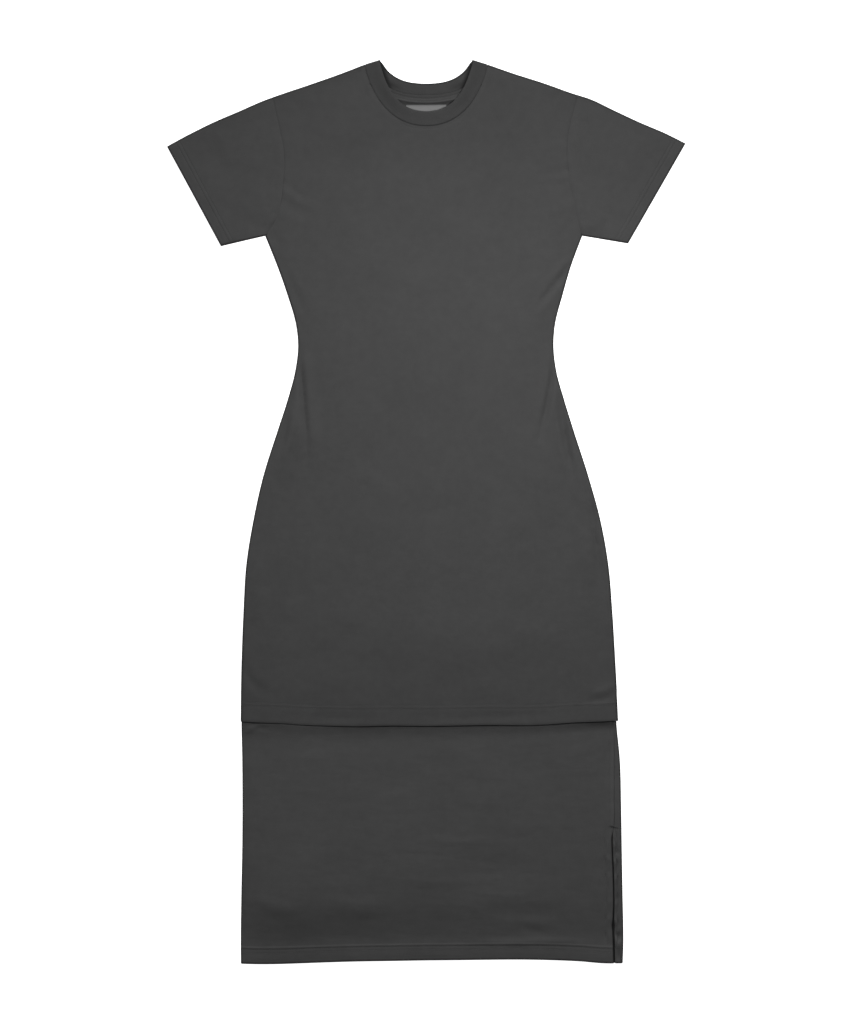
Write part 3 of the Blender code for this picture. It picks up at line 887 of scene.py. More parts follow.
@dataclass(frozen=True)
class Hem:
    """A turned-up hem with two rows of stitches, and a groove under each row."""

    turn_up: float
    stitches: Steps
    groove: float = 0.24
    groove_reach: float = 1.4
    swell: float = 0.16
    ridge: float = 0.0
    ridge_above: float = 2.0
    swell_reach: float = 2.2
    ridge_rows: Steps = (2.3, 3.1, 4.0, 5.0, 6.2)
    groove_rows: Steps = (-1.5, -0.7, 0.0, 0.7, 1.5)
    fold_steps: int = 7
    inner_rows: int = 5

    def fold_rows(self) -> list[Pair]:
        """The rows from the raw edge, round the fold, to the face.

        Returns:
            Each row's height above the fold and its depth under the face.
        """
        inner = CLOTH / 2 + FOLD
        rows = [(height, inner) for height in np.linspace(self.turn_up, FOLD, self.inner_rows)]
        for step in range(self.fold_steps + 1):
            angle = math.pi * step / self.fold_steps
            height = CLOTH / 2 + FOLD / 2 * (1 - math.sin(angle))
            rows.append((height, CLOTH / 2 + FOLD / 2 * (1 + math.cos(angle))))
        return rows

    def face_heights(self, top: float, pitch: float) -> list[float]:
        """Heights of the rows on the face up to a top one, close together at the stitches."""
        close = [height + shift for height in self.stitches for shift in self.groove_rows]
        close += [self.stitches[-1] + shift for shift in self.ridge_rows if self.ridge]
        return sorted(spaced(np.arange(pitch, top, pitch), close) + close + [top])

    def lift(self, height: Array) -> Array:
        """Height that the stitching adds to the face at a height above the hem."""
        lift = -self.groove * sum(bell((height - row) / self.groove_reach) for row in self.stitches)
        middle = sum(self.stitches) / len(self.stitches)
        above = self.ridge * bell((height - self.stitches[-1] - self.ridge_above) / self.swell_reach)
        return lift + above + self.swell * bell((height - middle) / self.swell_reach)

    def runs(self, points: Array, outward: Array, climbs: Array, depths: Array) -> list[Run]:
        """The lines that the hem is stitched along, from its rows' points, heights and depths."""
        hidden = (depths > CLOTH / 2) * HIDDEN
        rows = [int(np.argmin(np.abs(climbs - height) + hidden)) for height in self.stitches]
        return [face_run(points[row], outward[row]) for row in rows]


@dataclass(frozen=True)
class Form:
    """Named sizes of the laid dress, and the levels and lines that follow from them."""

    bodice_height: float = 4.0
    underskirt_height: float = 3.0
    underskirt_hem_height: float = 4.8
    cuff_height: float = 5.0
    armpit: float = 387.0
    tunic_hem: float = -300.0
    underskirt_top: float = -230.0
    underskirt_hem: float = -627.0
    tunic_slope: Pair = (20.0, -276.0)
    hem_slope: Pair = (-590.0, -621.0)
    below_tunic: Pair = (-296.0, -318.0)
    inside_tunic: Pair = (-234.0, -268.0)
    hem_curve_reach: float = 120.0
    edge_steps: int = 5
    edge_reach: float = 1.7
    edge_level: float = 0.34

    def shoulder_level(self, x: Array | float) -> Array:
        """Level of the upper outline at x."""
        left, right = (read(SHOULDERS, "out", side.value, np.abs(x)) for side in Flank)
        return np.where(np.asarray(x) < 0, left, right)

    def armhole_line(self, side: Flank, steps: int) -> Array:
        """Points of one side's armhole seam, from the armpit to the shoulder."""
        tip = float(self.shoulder_level(getattr(ARMHOLES[-1], side.value)))
        levels = np.linspace(self.armpit, tip, steps + 1)
        return np.stack([side.at(ARMHOLES, levels), levels], axis=-1)

    def outline_lines(self) -> list[Array]:
        """The folds that bound the body and the sleeves in plan, as polylines."""
        lines = []
        levels = np.linspace(self.tunic_hem, self.armpit, CURVE_STEPS)
        for side in Flank:
            flank = np.stack([side.at(TUNIC_SIDES, levels), levels], axis=-1)
            lines.append(np.vstack([flank, [CUFF_CORNERS[side][1]]]))
            x = side.outward * np.linspace(SHOULDERS[0].out, SHOULDERS[-1].out, CURVE_STEPS)
            top = np.stack([x, self.shoulder_level(x)], axis=-1)
            neck = side.outward * FRONT_EDGE.half_width, FRONT_EDGE.top
            lines.append(np.vstack([[neck], top]))
        return lines

    def edge_offsets(self, radius: float, depth: float) -> Array:
        """Distances from a fold to the columns of its edge, on a row at a depth under the face."""
        reach = radius * self.edge_reach
        return reach - (reach - depth) * np.cos(np.linspace(0, math.pi / 2, self.edge_steps + 1))

    def turned(self, distance: Array, radius: Array, depth: Array) -> Array:
        """How far a folded edge has turned at a distance from it: 0 on the flat, 1 at the fold."""
        reach = radius * self.edge_reach
        return 1 - np.sqrt(1 - np.clip((reach - distance) / (reach - depth), 0, 1) ** 2)

    def fold_radii(self, thickness: Array | float) -> tuple[Array, Array]:
        """Height of the folded edge's front half and back half where a laid part is so thick."""
        back = thickness * self.edge_level
        return thickness - back - SEAM_GAP / 2, back - SEAM_GAP / 2

    def tunic_top(self, y: Array | float) -> Array:
        """Upper face of the body at level y, over the underskirt and the hem."""
        rise = self.underskirt_height + 4 * LAY - self.bodice_height
        return self.bodice_height + rise * ramp(y, *self.tunic_slope)

    def underskirt_levels(self, y: Array | float) -> tuple[Array, Array]:
        """Lower and upper face of the underskirt.

        Args:
            y: The level.

        Returns:
            The height of each face.
        """
        inside = LAY + LAY * ramp(y, *self.inside_tunic)
        low = np.where(np.asarray(y) > self.below_tunic[0], inside, self._out_of_tunic(y))
        more = self.underskirt_hem_height - self.underskirt_height
        high = low + self.underskirt_height + more * ramp(y, *self.hem_slope)
        sewn = ramp(y, self.inside_tunic[1], self.underskirt_top)
        return low, high + (self.tunic_top(y) - LAY - high) * sewn

    def _out_of_tunic(self, y: Array | float) -> Array:
        """Height of the underskirt's lower face where it comes out from inside the body."""
        return 2 * LAY * (1 - ramp(y, *self.below_tunic))

    def overhang(self, name: str, x: Array | float) -> Array:
        """One of the overhang's sizes at x."""
        places, sizes = zip(*((row.at, getattr(row, name)) for row in UNDER_THE_HEM))
        return np.interp(x, places, sizes)

    def hem_rise(self, line: Sequence[Place], level: float, x: Array, height: float = 0.0) -> Array:
        """How far a hem's curve raises the cloth at x and a height above it, where it dies out."""
        curve = read(line, "at", "value", np.clip(x, line[0].at, line[-1].at))
        return (curve - level) * (1 - ramp(height, 0, self.hem_curve_reach))

    def past_hem(self, x: Array | float, y: Array | float) -> Array:
        """How far below the body's hem line a point lies."""
        return self.tunic_hem + self.hem_rise(TUNIC_HEM_LINE, self.tunic_hem, x) - y

    def below_hem(self, x: Array | float, y: Array | float) -> Array:
        """Height that the underskirt's front adds to its general level below the body's hem.

        Args:
            x: X of some points.
            y: Their levels.

        Returns:
            The height at each point.
        """
        past = self.past_hem(x, y)
        start = self.overhang("start", x)
        fall = (1 - np.clip((past - start) / self.overhang("reach", x), 0, 1)) ** 2
        drape = (2 * LAY + self.overhang("bulge", x) * ramp(past, 0.2, start)) * fall
        return drape - self._out_of_tunic(y)


FORM = Form()


@dataclass
class Bodice:
    """The body's front or back panel, from the hem to the neck curve that it is sewn to."""

    name: str
    node: str
    neck: NeckCurve
    is_front: bool
    hem: Hem = Hem(turn_up=31.0, stitches=(24.0, 29.0), groove=0.07, swell=0.15)
    shoulder_steps: int = 27
    neck_steps: int = 62
    armhole_steps: int = 44
    pitch: float = 4.6
    collar_rows: Steps = (5.6, 4.3)
    corner_turn: tuple[int, int] = (-8, 4)
    # Strength of the painted shade at the hem's fold
    hem_shade: float = 0.12
    creases: Folds = ()
    waves: tuple[Wave, ...] = ()
    cut: Pair = (0.535, 0.985)

    def _skirt_rows(self, spans: int) -> tuple[list[Array], list[float], list[float]]:
        """The rows from the hem to the armpits.

        Args:
            spans: Spans between the two folded edges.

        Returns:
            Each row's points in plan, its depth and its height.
        """
        heights = self.hem.face_heights(FORM.armpit - FORM.tunic_hem, self.pitch)
        rows, depths, climbs = [], [], []
        for height, depth in self.hem.fold_rows() + [(height, CLOTH / 2) for height in heights]:
            level = FORM.tunic_hem + height
            radius = float(FORM.tunic_top(level) - SEAM_GAP) / 2
            left, right = (float(side.at(TUNIC_SIDES, level)) for side in Flank)
            offsets = FORM.edge_offsets(radius, depth)
            middle = np.linspace(left + offsets[-1], right - offsets[-1], spans + 1)[1:-1]
            x = np.concatenate([left + offsets, middle, right - offsets[::-1]])
            rise = FORM.hem_rise(TUNIC_HEM_LINE, FORM.tunic_hem, x, height)
            rows.append(np.stack([x, level + rise], axis=-1))
            depths.append(depth)
            climbs.append(height)
        return rows, depths, climbs

    def _top_row(self, shift: Array, drop: float, tips: Pair) -> tuple[Array, Array]:
        """The row along the shoulders and the neck seam.

        Args:
            shift: Distances from the armhole seam to the columns of the edge.
            drop: Its distance below the shoulders' fold.
            tips: X of the left and of the right armhole's tip.

        Returns:
            Its points, and the way from each into the panel.
        """
        left, right = tips
        neck = beside(self.neck.line(self.neck_steps), SEAM_GAP / 2)
        first = FORM.edge_steps + self.shoulder_steps
        left_x = np.linspace(left + shift[-1], neck[0, 0], self.shoulder_steps + 1)
        right_x = np.linspace(neck[-1, 0], right - shift[-1], self.shoulder_steps + 1)
        x = np.concatenate([left + shift[:-1], left_x[:-1], neck[:, 0], right_x[1:],
                            right - shift[-2::-1]])
        top = np.stack([x, FORM.shoulder_level(x) - drop], axis=-1)
        top[first:first + self.neck_steps + 1] = neck
        top[[first, first + self.neck_steps], 1] -= drop
        return top, self._inward(neck, first, len(top))

    def plan(self) -> tuple[Array, Array, Array]:
        """The panel in plan.

        Returns:
            The points row by row from the hem up, and each row's depth and height.
        """
        spans = self.neck_steps + 2 * self.shoulder_steps
        rows, depths, climbs = self._skirt_rows(spans)
        offsets = FORM.edge_offsets((FORM.bodice_height - SEAM_GAP) / 2, CLOTH / 2)
        shift = SEAM_GAP / 2 + offsets - offsets[0]
        left_seam, right_seam = (FORM.armhole_line(side, self.armhole_steps) for side in Flank)
        top, inward = self._top_row(shift, offsets[0], (left_seam[-1, 0], right_seam[-1, 0]))

        reaches = list(self.collar_rows) + list(offsets[::-1] - offsets[0])
        bottom, shoulder = rows[-1], top + inward * reaches[0]
        edge = FORM.edge_steps + 1
        share = np.clip((np.arange(len(top)) - FORM.edge_steps) / spans, 0, 1)[:, None]
        for step in range(1, self.armhole_steps):
            part = step / self.armhole_steps
            row = (1 - part) * bottom + part * shoulder
            row += (1 - share) * (left_seam[step] + (shift[-1], 0) - row[FORM.edge_steps])
            row += share * (right_seam[step] - (shift[-1], 0) - row[-edge])
            row[:edge, 1] = left_seam[step, 1]
            row[-edge:, 1] = right_seam[step, 1]
            rows.append(row)
        rows += [top + inward * reach for reach in reaches[1:]]
        for row in rows[len(depths):]:
            row[:edge, 0] = np.interp(row[:edge, 1], left_seam[:, 1], left_seam[:, 0]) + shift
            row[-edge:, 0] = np.interp(row[-edge:, 1], right_seam[:, 1], right_seam[:, 0]) - shift[::-1]
        more = len(rows) - len(depths)
        depths += [CLOTH / 2] * more
        climbs += [FORM.armpit - FORM.tunic_hem] * more
        return np.array(rows), np.array(depths), np.array(climbs)

    def _inward(self, neck: Array, first: int, columns: int) -> Array:
        """The way from the upper edge into the panel at each column.

        Args:
            neck: The neck seam's points.
            first: The column that the neck seam starts at.
            columns: The number of columns.

        Returns:
            Straight down at the shoulders, turning square to the seam at the neck.
        """
        down = np.array((0.0, -1.0))
        before, after = self.corner_turn
        inward = np.tile(down, (columns, 1))
        inward[first:first + self.neck_steps + 1] = beside(neck, 1) - neck
        turn = np.arange(before + 1, after)
        for corner, step in ((first, 1), (first + self.neck_steps, -1)):
            square = inward[corner + step * after]
            for index, share in zip(corner + step * turn, ramp(turn, before, after)):
                mixed = square * share + down * (1 - share)
                inward[index] = mixed / np.hypot(*mixed)
        return inward

    def seams(self) -> list[Seam]:
        """The seams that the panel is sewn into."""
        neck = Seam(self.neck.line(CURVE_STEPS), 0.95, 2.8, Ridge(6.5, 4.0, 0.25))
        return [neck] + [Seam(FORM.armhole_line(side, CURVE_STEPS), 0.75, 4.0) for side in Flank]

    def points(self, plan: Array, depths: Array, climbs: Array) -> tuple[Array, Array, float]:
        """The laid cloth.

        Args:
            plan: The panel's points in plan.
            depths: Each row's depth.
            climbs: Each row's height.

        Returns:
            The middle of the cloth, its painted shade, and its area without creases.
        """
        high = FORM.tunic_top(plan[..., 1])
        radius = (high - SEAM_GAP) / 2
        depth = depths[:, None]
        away = np.min([nearest(plan, line)[0] for line in FORM.outline_lines()], axis=0)
        front_radius, back_radius = FORM.fold_radii(high)
        fold = front_radius if self.is_front else back_radius
        drop = (fold - depth) * FORM.turned(away, radius, depth)
        lift = relief(plan, self.creases, self.waves, away)
        sink = sum(seam.lift(plan) for seam in self.seams())
        sewn = self.hem.lift(climbs)[:, None] * (depth == CLOTH / 2)
        if self.is_front:
            z = high - depth - drop
            made = z + lift + sink + sewn
        else:
            z = depth + drop
            made = z + np.abs(lift) - sink - sewn
        flat = cloth_area(np.concatenate([plan, z[..., None]], axis=-1))
        # Painted shade along the folded outline and at the hem's fold
        at_hem = fold_shade(climbs, self.hem_shade)[:, None]
        shade = np.maximum(outline_shade(away, plan[..., 1]), at_hem)
        return np.concatenate([plan, made[..., None]], axis=-1), shade, flat

    def build(self) -> list[Run]:
        """Builds the panel and returns the runs of its hem stitches."""
        plan, depths, climbs = self.plan()
        points, shade, area = self.points(plan, depths, climbs)
        piece = lay_sheet(self.name, points, shade)
        hand_over(piece, JERSEY, "jersey", self.node)
        outward = surface_normals(points) * (1 if self.is_front else -1)
        return self.hem.runs(points, outward, climbs, depths)


@dataclass
class Sleeve:
    """A short sleeve, named by the arm: a laid tube from the armhole to the turned-up cuff."""

    name: str
    node: str
    side: Flank
    hem: Hem = Hem(turn_up=19.5, stitches=(13.0, 18.0))
    above_stitches: float = 3.0
    pitch: float = 3.4
    under_length: float = 60.0
    slope: Pair = (70.0, 24.0)
    across_steps: int = 40
    along_steps: int = 26
    even: float = 0.9
    under_crease: float = 0.6
    creases: Folds = ()
    cut: Pair = (0.43, 0.20)

    def _rings(self) -> list[tuple[float, float, float]]:
        """The rings round the sleeve, from the armhole to the raw edge inside the cuff.

        Returns:
            Each ring's height above the cuff, its part of the way there from the armhole, and
            its depth under the face.
        """
        top = self.hem.stitches[-1] + self.above_stitches
        rings = [(top, (step / self.along_steps) ** self.even, CLOTH / 2)
                 for step in range(self.along_steps + 1)]
        face = self.hem.face_heights(top, self.pitch)[:-1]
        rings += [(height, 1.0, CLOTH / 2) for height in reversed(face)]
        return rings + [(height, 1.0, depth) for height, depth in reversed(self.hem.fold_rows())]

    def points(self) -> tuple[Array, Array, Array, Array]:
        """The rings' points.

        Returns:
            The points, each ring's height and depth, and the points' painted shade.
        """
        outward = self.side.outward
        cuff_top, cuff_low = (np.array(corner) for corner in CUFF_CORNERS[self.side])
        cuff = (cuff_low - cuff_top) / np.hypot(*(cuff_low - cuff_top))
        square = np.array([cuff[1], -cuff[0]]) * outward
        seam = FORM.armhole_line(self.side, CURVE_STEPS)[::-1] + (outward * SEAM_GAP / 2, 0)
        stations = (seam[0, 1] - seam[:, 1]) / (seam[0, 1] - seam[-1, 1])
        upper = (seam[0] - cuff_top) / ((seam[0] - cuff_top) @ square)
        under = (seam[-1] - cuff_low) / ((seam[-1] - cuff_low) @ square)

        def across(shares: Sequence[float], reach: float, part: float) -> Array:
            """Points across the sleeve.

            Args:
                shares: From 0 at the upper fold to 1 at the lower one.
                reach: A height above the cuff.
                part: The part of the way from the armhole to there.

            Returns:
                The points in plan.
            """
            share = np.asarray(shares, float)[:, None]
            high = np.stack([np.interp(shares, stations, axis) for axis in seam.T], axis=-1)
            low = cuff_top + (cuff_low - cuff_top) * share + (upper + (under - upper) * share) * reach
            return high + (low - high) * part

        angles = np.linspace(0, math.pi / 2, FORM.edge_steps + 1)
        middle = np.linspace(0, 1, self.across_steps + 1)[1:-1]
        turn = np.concatenate([np.sin(angles), np.ones(len(middle)), np.sin(angles[::-1])])
        points, climbs, depths, shades = [], [], [], []
        for reach, part, depth in self._rings():
            top, centre, bottom = across([0, 0.5, 1], reach, part)
            width = np.hypot(*(bottom - top))
            slope = ramp((centre - cuff_top) @ square, *self.slope)
            height = FORM.bodice_height + (FORM.cuff_height - FORM.bodice_height) * slope
            offsets = FORM.edge_offsets(float(height) / 2, depth) / width
            inside = offsets[-1] + (1 - 2 * offsets[-1]) * middle
            shares = np.concatenate([offsets, inside, 1 - offsets[::-1]])
            plan = across(shares, reach, part)
            plan[:, 1] += (FORM.shoulder_level(top[0]) - top[1]) * (1 - shares) ** 3
            line = height * FORM.edge_level
            front = np.column_stack([plan, line + (height - line - depth) * turn])
            back = np.column_stack([plan, line - (line - depth) * turn])[-2:0:-1]
            points.append(np.concatenate([front, back, front[:1]]))
            # Painted shade along the folded outline and at the cuff's fold
            away = np.minimum(shares, 1 - shares) * width
            at_cuff = fold_shade(reach if part == 1 else HIDDEN)
            shade = np.maximum(outline_shade(away, plan[:, 1]), at_cuff)
            shades.append(np.concatenate([shade, shade[-2:0:-1], shade[:1]]))
            climbs.append(reach + (1 - part) * self.under_length)
            depths.append(depth)
        return np.array(points), np.array(climbs), np.array(depths), np.array(shades)

    def _relief(self, points: Array, climbs: Array, depths: Array) -> Array:
        """What the creases, the armhole seam and the cuff's stitching add.

        Args:
            points: The rings' points.
            climbs: Each ring's height.
            depths: Each ring's depth.

        Returns:
            The height at each point.
        """
        plan = points[..., :2]
        middle = points[..., 2].mean(axis=1, keepdims=True)
        facing = np.clip((points[..., 2] - middle) / 1.2, -1, 1)
        seam = Seam(FORM.armhole_line(self.side, CURVE_STEPS), 0.55, 2.2, Ridge(4.2, 4.4, 0.5))
        face = (depths == CLOTH / 2)[:, None]
        creased = sum(crease.lift(plan) for crease in self.creases)
        creased = np.where(facing > 0, creased, self.under_crease * np.abs(creased)) * np.abs(facing)
        sewn = (self.hem.lift(climbs)[:, None] * face + seam.lift(plan)) * facing
        return creased + np.where(facing > 0, sewn, np.maximum(sewn, 0))

    def build(self) -> list[Run]:
        """Builds the sleeve and returns the runs of its cuff stitches."""
        points, climbs, depths, shade = self.points()
        points[..., 2] += self._relief(points, climbs, depths)
        piece = lay_sheet(self.name, points, shade)
        hand_over(piece, JERSEY, "jersey", self.node)
        outward = surface_normals(points)
        outward *= math.copysign(1, outward[3, FORM.edge_steps + self.across_steps // 2, 2])
        return self.hem.runs(points, outward, climbs, depths)


@dataclass(frozen=True)
class Slit:
    """The rolled side seam of the underskirt and the slit that opens in it."""

    top: float = -446.0
    width: float = 2.0
    taper: float = 12.0
    low_part: Pair = (-555.0, -590.0)
    widest: Ridge = Ridge(-577.0, 9.0, 0.9)
    allowance: float = 11.0
    rise: float = 1.9
    swell: Pair = (40.0, 16.0)
    hem_fold: Pair = (-606.0, -596.0)
    pull_end: Pair = (-606.0, -598.0)
    topstitch: float = 10.0
    strip_stitch: float = 5.0
    tack: Pair = (13.0, -440.4)
    tack_slant: float = 0.26
    tack_spots: int = 9
    tack_reach: float = 2.6
    stitched_from: float = 22.0

    def edges(self, y: float) -> Pair:
        """The two edges: shut above the slit, open below, with its uneven opening.

        Args:
            y: A level.

        Returns:
            X of the front's edge and of the strip's edge there.
        """
        seam = read(ROLLED_SEAM, "at", "value", y)
        opened = ramp(y, self.top, self.top - self.taper)
        gap = self.width * (0.6 + 0.5 * ramp(y, *self.low_part) + ridges(y, [self.widest]))
        opening = SEAM_GAP / 2 + (gap - SEAM_GAP) / 2 * opened
        return float(seam - opening), float(seam + opening)

    def away(self, points: Array, edge: int) -> Array:
        """Distance of each point of a panel to the right of its edge, which is its last column."""
        return points[..., 0] - np.array([self.edges(y)[edge] for y in points[:, -1, 1]])[:, None]

    def pucker(self, y: Array) -> Array:
        """Uneven pull of the stitches beside the slit at a level."""
        even = 0.8 + 0.7 * np.sin(y / 2.4) * np.sin(y / 9.1 + 1) + 0.5 * np.sin(y / 4.3 + 2)
        return even * ramp(y, self.tack[1], self.tack[1] - self.taper) * ramp(y, *self.pull_end)


SLIT = Slit()


class Section(NamedTuple):
    """A cut across the underskirt: its level, its faces, its left fold and its form there."""

    level: float
    low: float
    high: float
    left: float
    thickness: float
    radius: float


class Laid(NamedTuple):
    """A laid panel: its points, each row's height and depth, and its area without creases."""

    points: Array
    climbs: Array
    depths: Array
    area: float


@dataclass
class Underskirt:
    """The underskirt's two panels, which meet in the seam rolled to the front."""

    front_hem: Hem = Hem(turn_up=21.5, stitches=(15.2, 20.2), groove=0.05, swell=0.05, ridge=0.42)
    back_hem: Hem = Hem(turn_up=28.5, stitches=(22.2, 27.2))
    pitch: float = 3.5
    front_spans: int = 112
    back_spans: int = 84
    front_cut: Pair = (0.545, 0.425)
    back_cut: Pair = (0.575, 0.430)
    edge_steps: Steps = (13.5, 11.6, 10.0, 8.4, 6.4, 4.4, 2.8, 1.5)
    strip_steps: Steps = (8.6, 7.4, 6.2, 5.0, 3.9, 3.0, 2.1, 1.3)
    fold_columns: int = 6
    under_start: float = 1.6
    under_shares: Steps = (0.1, 0.4, 0.7, 1.0)
    flat_step: float = 0.09
    strip_reach: float = 1.3
    tack_rows: Steps = (183.2, 185.0, 186.4, 187.8, 189.6)
    overlap_rows: tuple[float, float, float] = (316.0, 340.0, 1.1)
    front_pull: tuple[Ridge, ...] = (Ridge(6.0, 5.0, 0.5), Ridge(10.0, 2.4, -0.7))
    strip_pull: tuple[Ridge, ...] = (Ridge(2.2, 2.4, 1.1), Ridge(5.0, 2.0, -1.0))
    rolled_edge: Ridge = Ridge(4.4, 3.6, 0.6)
    # Painted highlight along the rolled seam above the slit, a negative shade that makes the cloth paler
    seam_highlight: Ridge = Ridge(3.2, 2.4, -0.13)
    seam_highlight_from: Pair = (-312.0, -330.0)
    # Painted shadow in the slit's crack, and beside the front's slit edge
    crack_shadow: Fade = Fade(0.85, 3.0, 6.0)
    slit_edge_shadow: Fade = Fade(0.7, 0.5, 1.7)
    creases: Folds = ()
    back_creases: Folds = ()
    strip_creases: Folds = ()
    waves: tuple[Wave, ...] = ()

    @property
    def hidden_columns(self) -> int:
        """Columns of an edge that is turned under, from its fold to its raw edge."""
        return self.fold_columns + len(self.under_shares)

    def _rows(self, hem: Hem) -> list[Pair]:
        """Height above the hem and depth of each row."""
        top = FORM.underskirt_top - FORM.underskirt_hem
        close = list(self.tack_rows) + list(np.arange(*self.overlap_rows))
        heights = sorted(spaced(hem.face_heights(top, self.pitch), close) + close)
        return hem.fold_rows() + [(height, CLOTH / 2) for height in heights]

    def _edge(self, seam: float, inward: int, level: float,
              steps: Steps) -> tuple[Array, Array]:
        """Columns of an edge that is turned under at the rolled seam.

        Args:
            seam: X of the edge's fold.
            inward: The way into the panel, 1 or -1 along X.
            level: The row's level.
            steps: Distances from the fold to the columns of the face.

        Returns:
            X and extra depth of the columns, from the face to the raw edge.
        """
        # In the hem, which is folded itself, the allowance lies flat
        turn = float(ramp(level, *SLIT.hem_fold))
        half = CLOTH / 2
        columns = [(offset, 0.0) for offset in steps]
        for step, angle in enumerate(np.linspace(0, math.pi, self.fold_columns)):
            offset = half + FOLD / 2 * (1 - math.sin(angle))
            spread = (1 - turn) * self.flat_step * (self.fold_columns - 1 - step)
            columns.append((half + (offset - half) * turn + spread, FOLD / 2 * (1 - math.cos(angle)) * turn))
        for step, share in enumerate(self.under_shares):
            offset = self.under_start + (SLIT.allowance - self.under_start) * share
            flat = half - self.flat_step * (step + 1)
            columns.append((flat + (offset - flat) * turn, FOLD * turn))
        offsets, depths = np.array(columns).T
        return seam + inward * offsets, depths

    def _swell(self, x: Array, y: float) -> Array:
        """Rise of the cloth along the rolled seam, where it lies in several layers."""
        right = float(Flank.RIGHT.at(UNDERSKIRT_SIDES, y))
        strength = SLIT.rise * ramp(y, FORM.below_tunic[1] + 12, SLIT.top + 20)
        return strength * ramp(x, right - SLIT.swell[0], right - SLIT.swell[1])

    def _section(self, height: float) -> Section:
        """The cut at a height above the hem."""
        level = FORM.underskirt_hem + height
        low, high = (float(value) for value in FORM.underskirt_levels(level))
        left = float(Flank.LEFT.at(UNDERSKIRT_SIDES, level))
        thickness = high + float(FORM.below_hem(left, level)) - low
        return Section(level, low, high, left, thickness, (thickness - SEAM_GAP) / 2)

    def _levels(self, x: Array, section: Section, height: float) -> Array:
        """Y of a row's points, which follow the hem's curve."""
        return section.level + FORM.hem_rise(UNDERSKIRT_HEM_LINE, FORM.underskirt_hem, x, height)

    def _front_row(self, height: float, depth: float) -> Array:
        """A row of the front, from its left flank to the rolled seam.

        Args:
            height: Its height above the hem.
            depth: Its depth under the face.

        Returns:
            Its points.
        """
        section = self._section(height)
        level, left = section.level, section.left
        flank = left + FORM.edge_offsets(section.radius, depth)
        seam, extra = self._edge(SLIT.edges(level)[0], -1, level, self.edge_steps)
        middle = np.linspace(flank[-1], seam[0], self.front_spans + 1)[1:-1]
        x = np.concatenate([flank, middle, seam])
        under = np.concatenate([np.zeros(len(x) - len(extra)), extra])
        fold = float(FORM.fold_radii(section.thickness)[0])
        drop = (fold - depth) * FORM.turned(np.abs(x - left), section.radius, depth)
        z = section.high + FORM.below_hem(x, level) - depth - drop - under + self._swell(x, level)
        return np.stack([x, self._levels(x, section, height), z], axis=-1)

    def _back_row(self, height: float, depth: float) -> Array:
        """A row of the back, from its left flank, round the right flank, to the rolled seam.

        Args:
            height: Its height above the hem.
            depth: Its depth under the face.

        Returns:
            Its points.
        """
        section = self._section(height)
        level, low, left = section.level, section.low, section.left
        right = float(Flank.RIGHT.at(UNDERSKIRT_SIDES, level))
        edge = SLIT.edges(level)[1]
        left_x = left + FORM.edge_offsets(section.radius, depth)
        fold = float(FORM.fold_radii(section.thickness)[1])
        left_z = low + depth + (fold - depth) * FORM.turned(left_x - left, section.radius, depth)
        high = section.high + float(self._swell(np.array(right), level) + FORM.below_hem(right, level))
        reach = (high - low) / 2 * self.strip_reach
        half_turn = np.linspace(-math.pi / 2, math.pi / 2, 2 * FORM.edge_steps + 3)
        turn_x = right - reach + (reach - depth) * np.cos(half_turn)
        line = (high - low) * FORM.edge_level
        halves = np.where(half_turn > 0, high - low - line, line)
        turn_z = low + line + (halves - depth) * np.sin(half_turn)
        strip, extra = self._edge(edge, 1, level, self.strip_steps)
        room = max(right - reach - edge, 1.0)
        wide = self.strip_steps[0]
        share = np.clip(np.abs(strip - edge) / wide, 0, 1)
        strip = edge + share * wide * min((room - 0.3) / wide, 1)
        middle = np.linspace(left_x[-1], turn_x[0], self.back_spans + 1)[1:-1]
        x = np.concatenate([left_x, middle, turn_x, strip])
        z = np.concatenate([left_z, np.full(len(middle), low + depth), turn_z, high - depth - extra])
        return np.stack([x, self._levels(x, section, height), z], axis=-1)

    def _lay(self, hem: Hem, row: Callable[[float, float], Array]) -> Laid:
        """Lays a panel without its creases, by its hem and what makes a row at a height and depth."""
        rows = self._rows(hem)
        points = np.array([row(height, depth) for height, depth in rows])
        return Laid(points, *np.array(rows).T, cloth_area(points))

    def _front(self) -> Laid:
        """The front with its creases, its stitched hem and the pull of the slit's stitches."""
        front = self._lay(self.front_hem, self._front_row)
        points, plan = front.points, front.points[..., :2].copy()
        left = Flank.LEFT.at(UNDERSKIRT_SIDES, plan[..., 1])
        lift = relief(plan, self.creases, self.waves, plan[..., 0] - left)
        past = FORM.past_hem(plan[..., 0], plan[..., 1])
        lift = np.where(lift > 0, lift * ramp(past, 1.5, 7), lift)
        sewn = self.front_hem.lift(front.climbs)[:, None] * (front.depths == CLOTH / 2)[:, None]
        points[..., 2] += lift + sewn
        inside = -SLIT.away(points, 0)
        points[..., 2] += SLIT.pucker(plan[..., 1]) * ridges(inside, self.front_pull)
        shut = 1 - ramp(plan[..., 1], SLIT.top + 8, SLIT.top)
        points[..., 2] += ridges(inside, [self.rolled_edge]) * shut
        return front

    def _back(self) -> Laid:
        """The back with its creases, those of its strip, and the pull of the slit's stitches."""
        back = self._lay(self.back_hem, self._back_row)
        points, plan = back.points, back.points[..., :2].copy()
        columns = np.arange(points.shape[1])
        below = (columns >= FORM.edge_steps) & (columns < FORM.edge_steps + self.back_spans)
        on_strip = columns >= len(columns) - len(self.strip_steps) - self.hidden_columns - 1
        points[..., 2] += np.abs(sum(crease.lift(plan) for crease in self.back_creases)) * below
        points[..., 2] += sum(crease.lift(plan) for crease in self.strip_creases) * on_strip
        pull = SLIT.pucker(plan[..., 1] + 4) * on_strip
        points[..., 2] += pull * ridges(SLIT.away(points, 1), self.strip_pull)
        return back

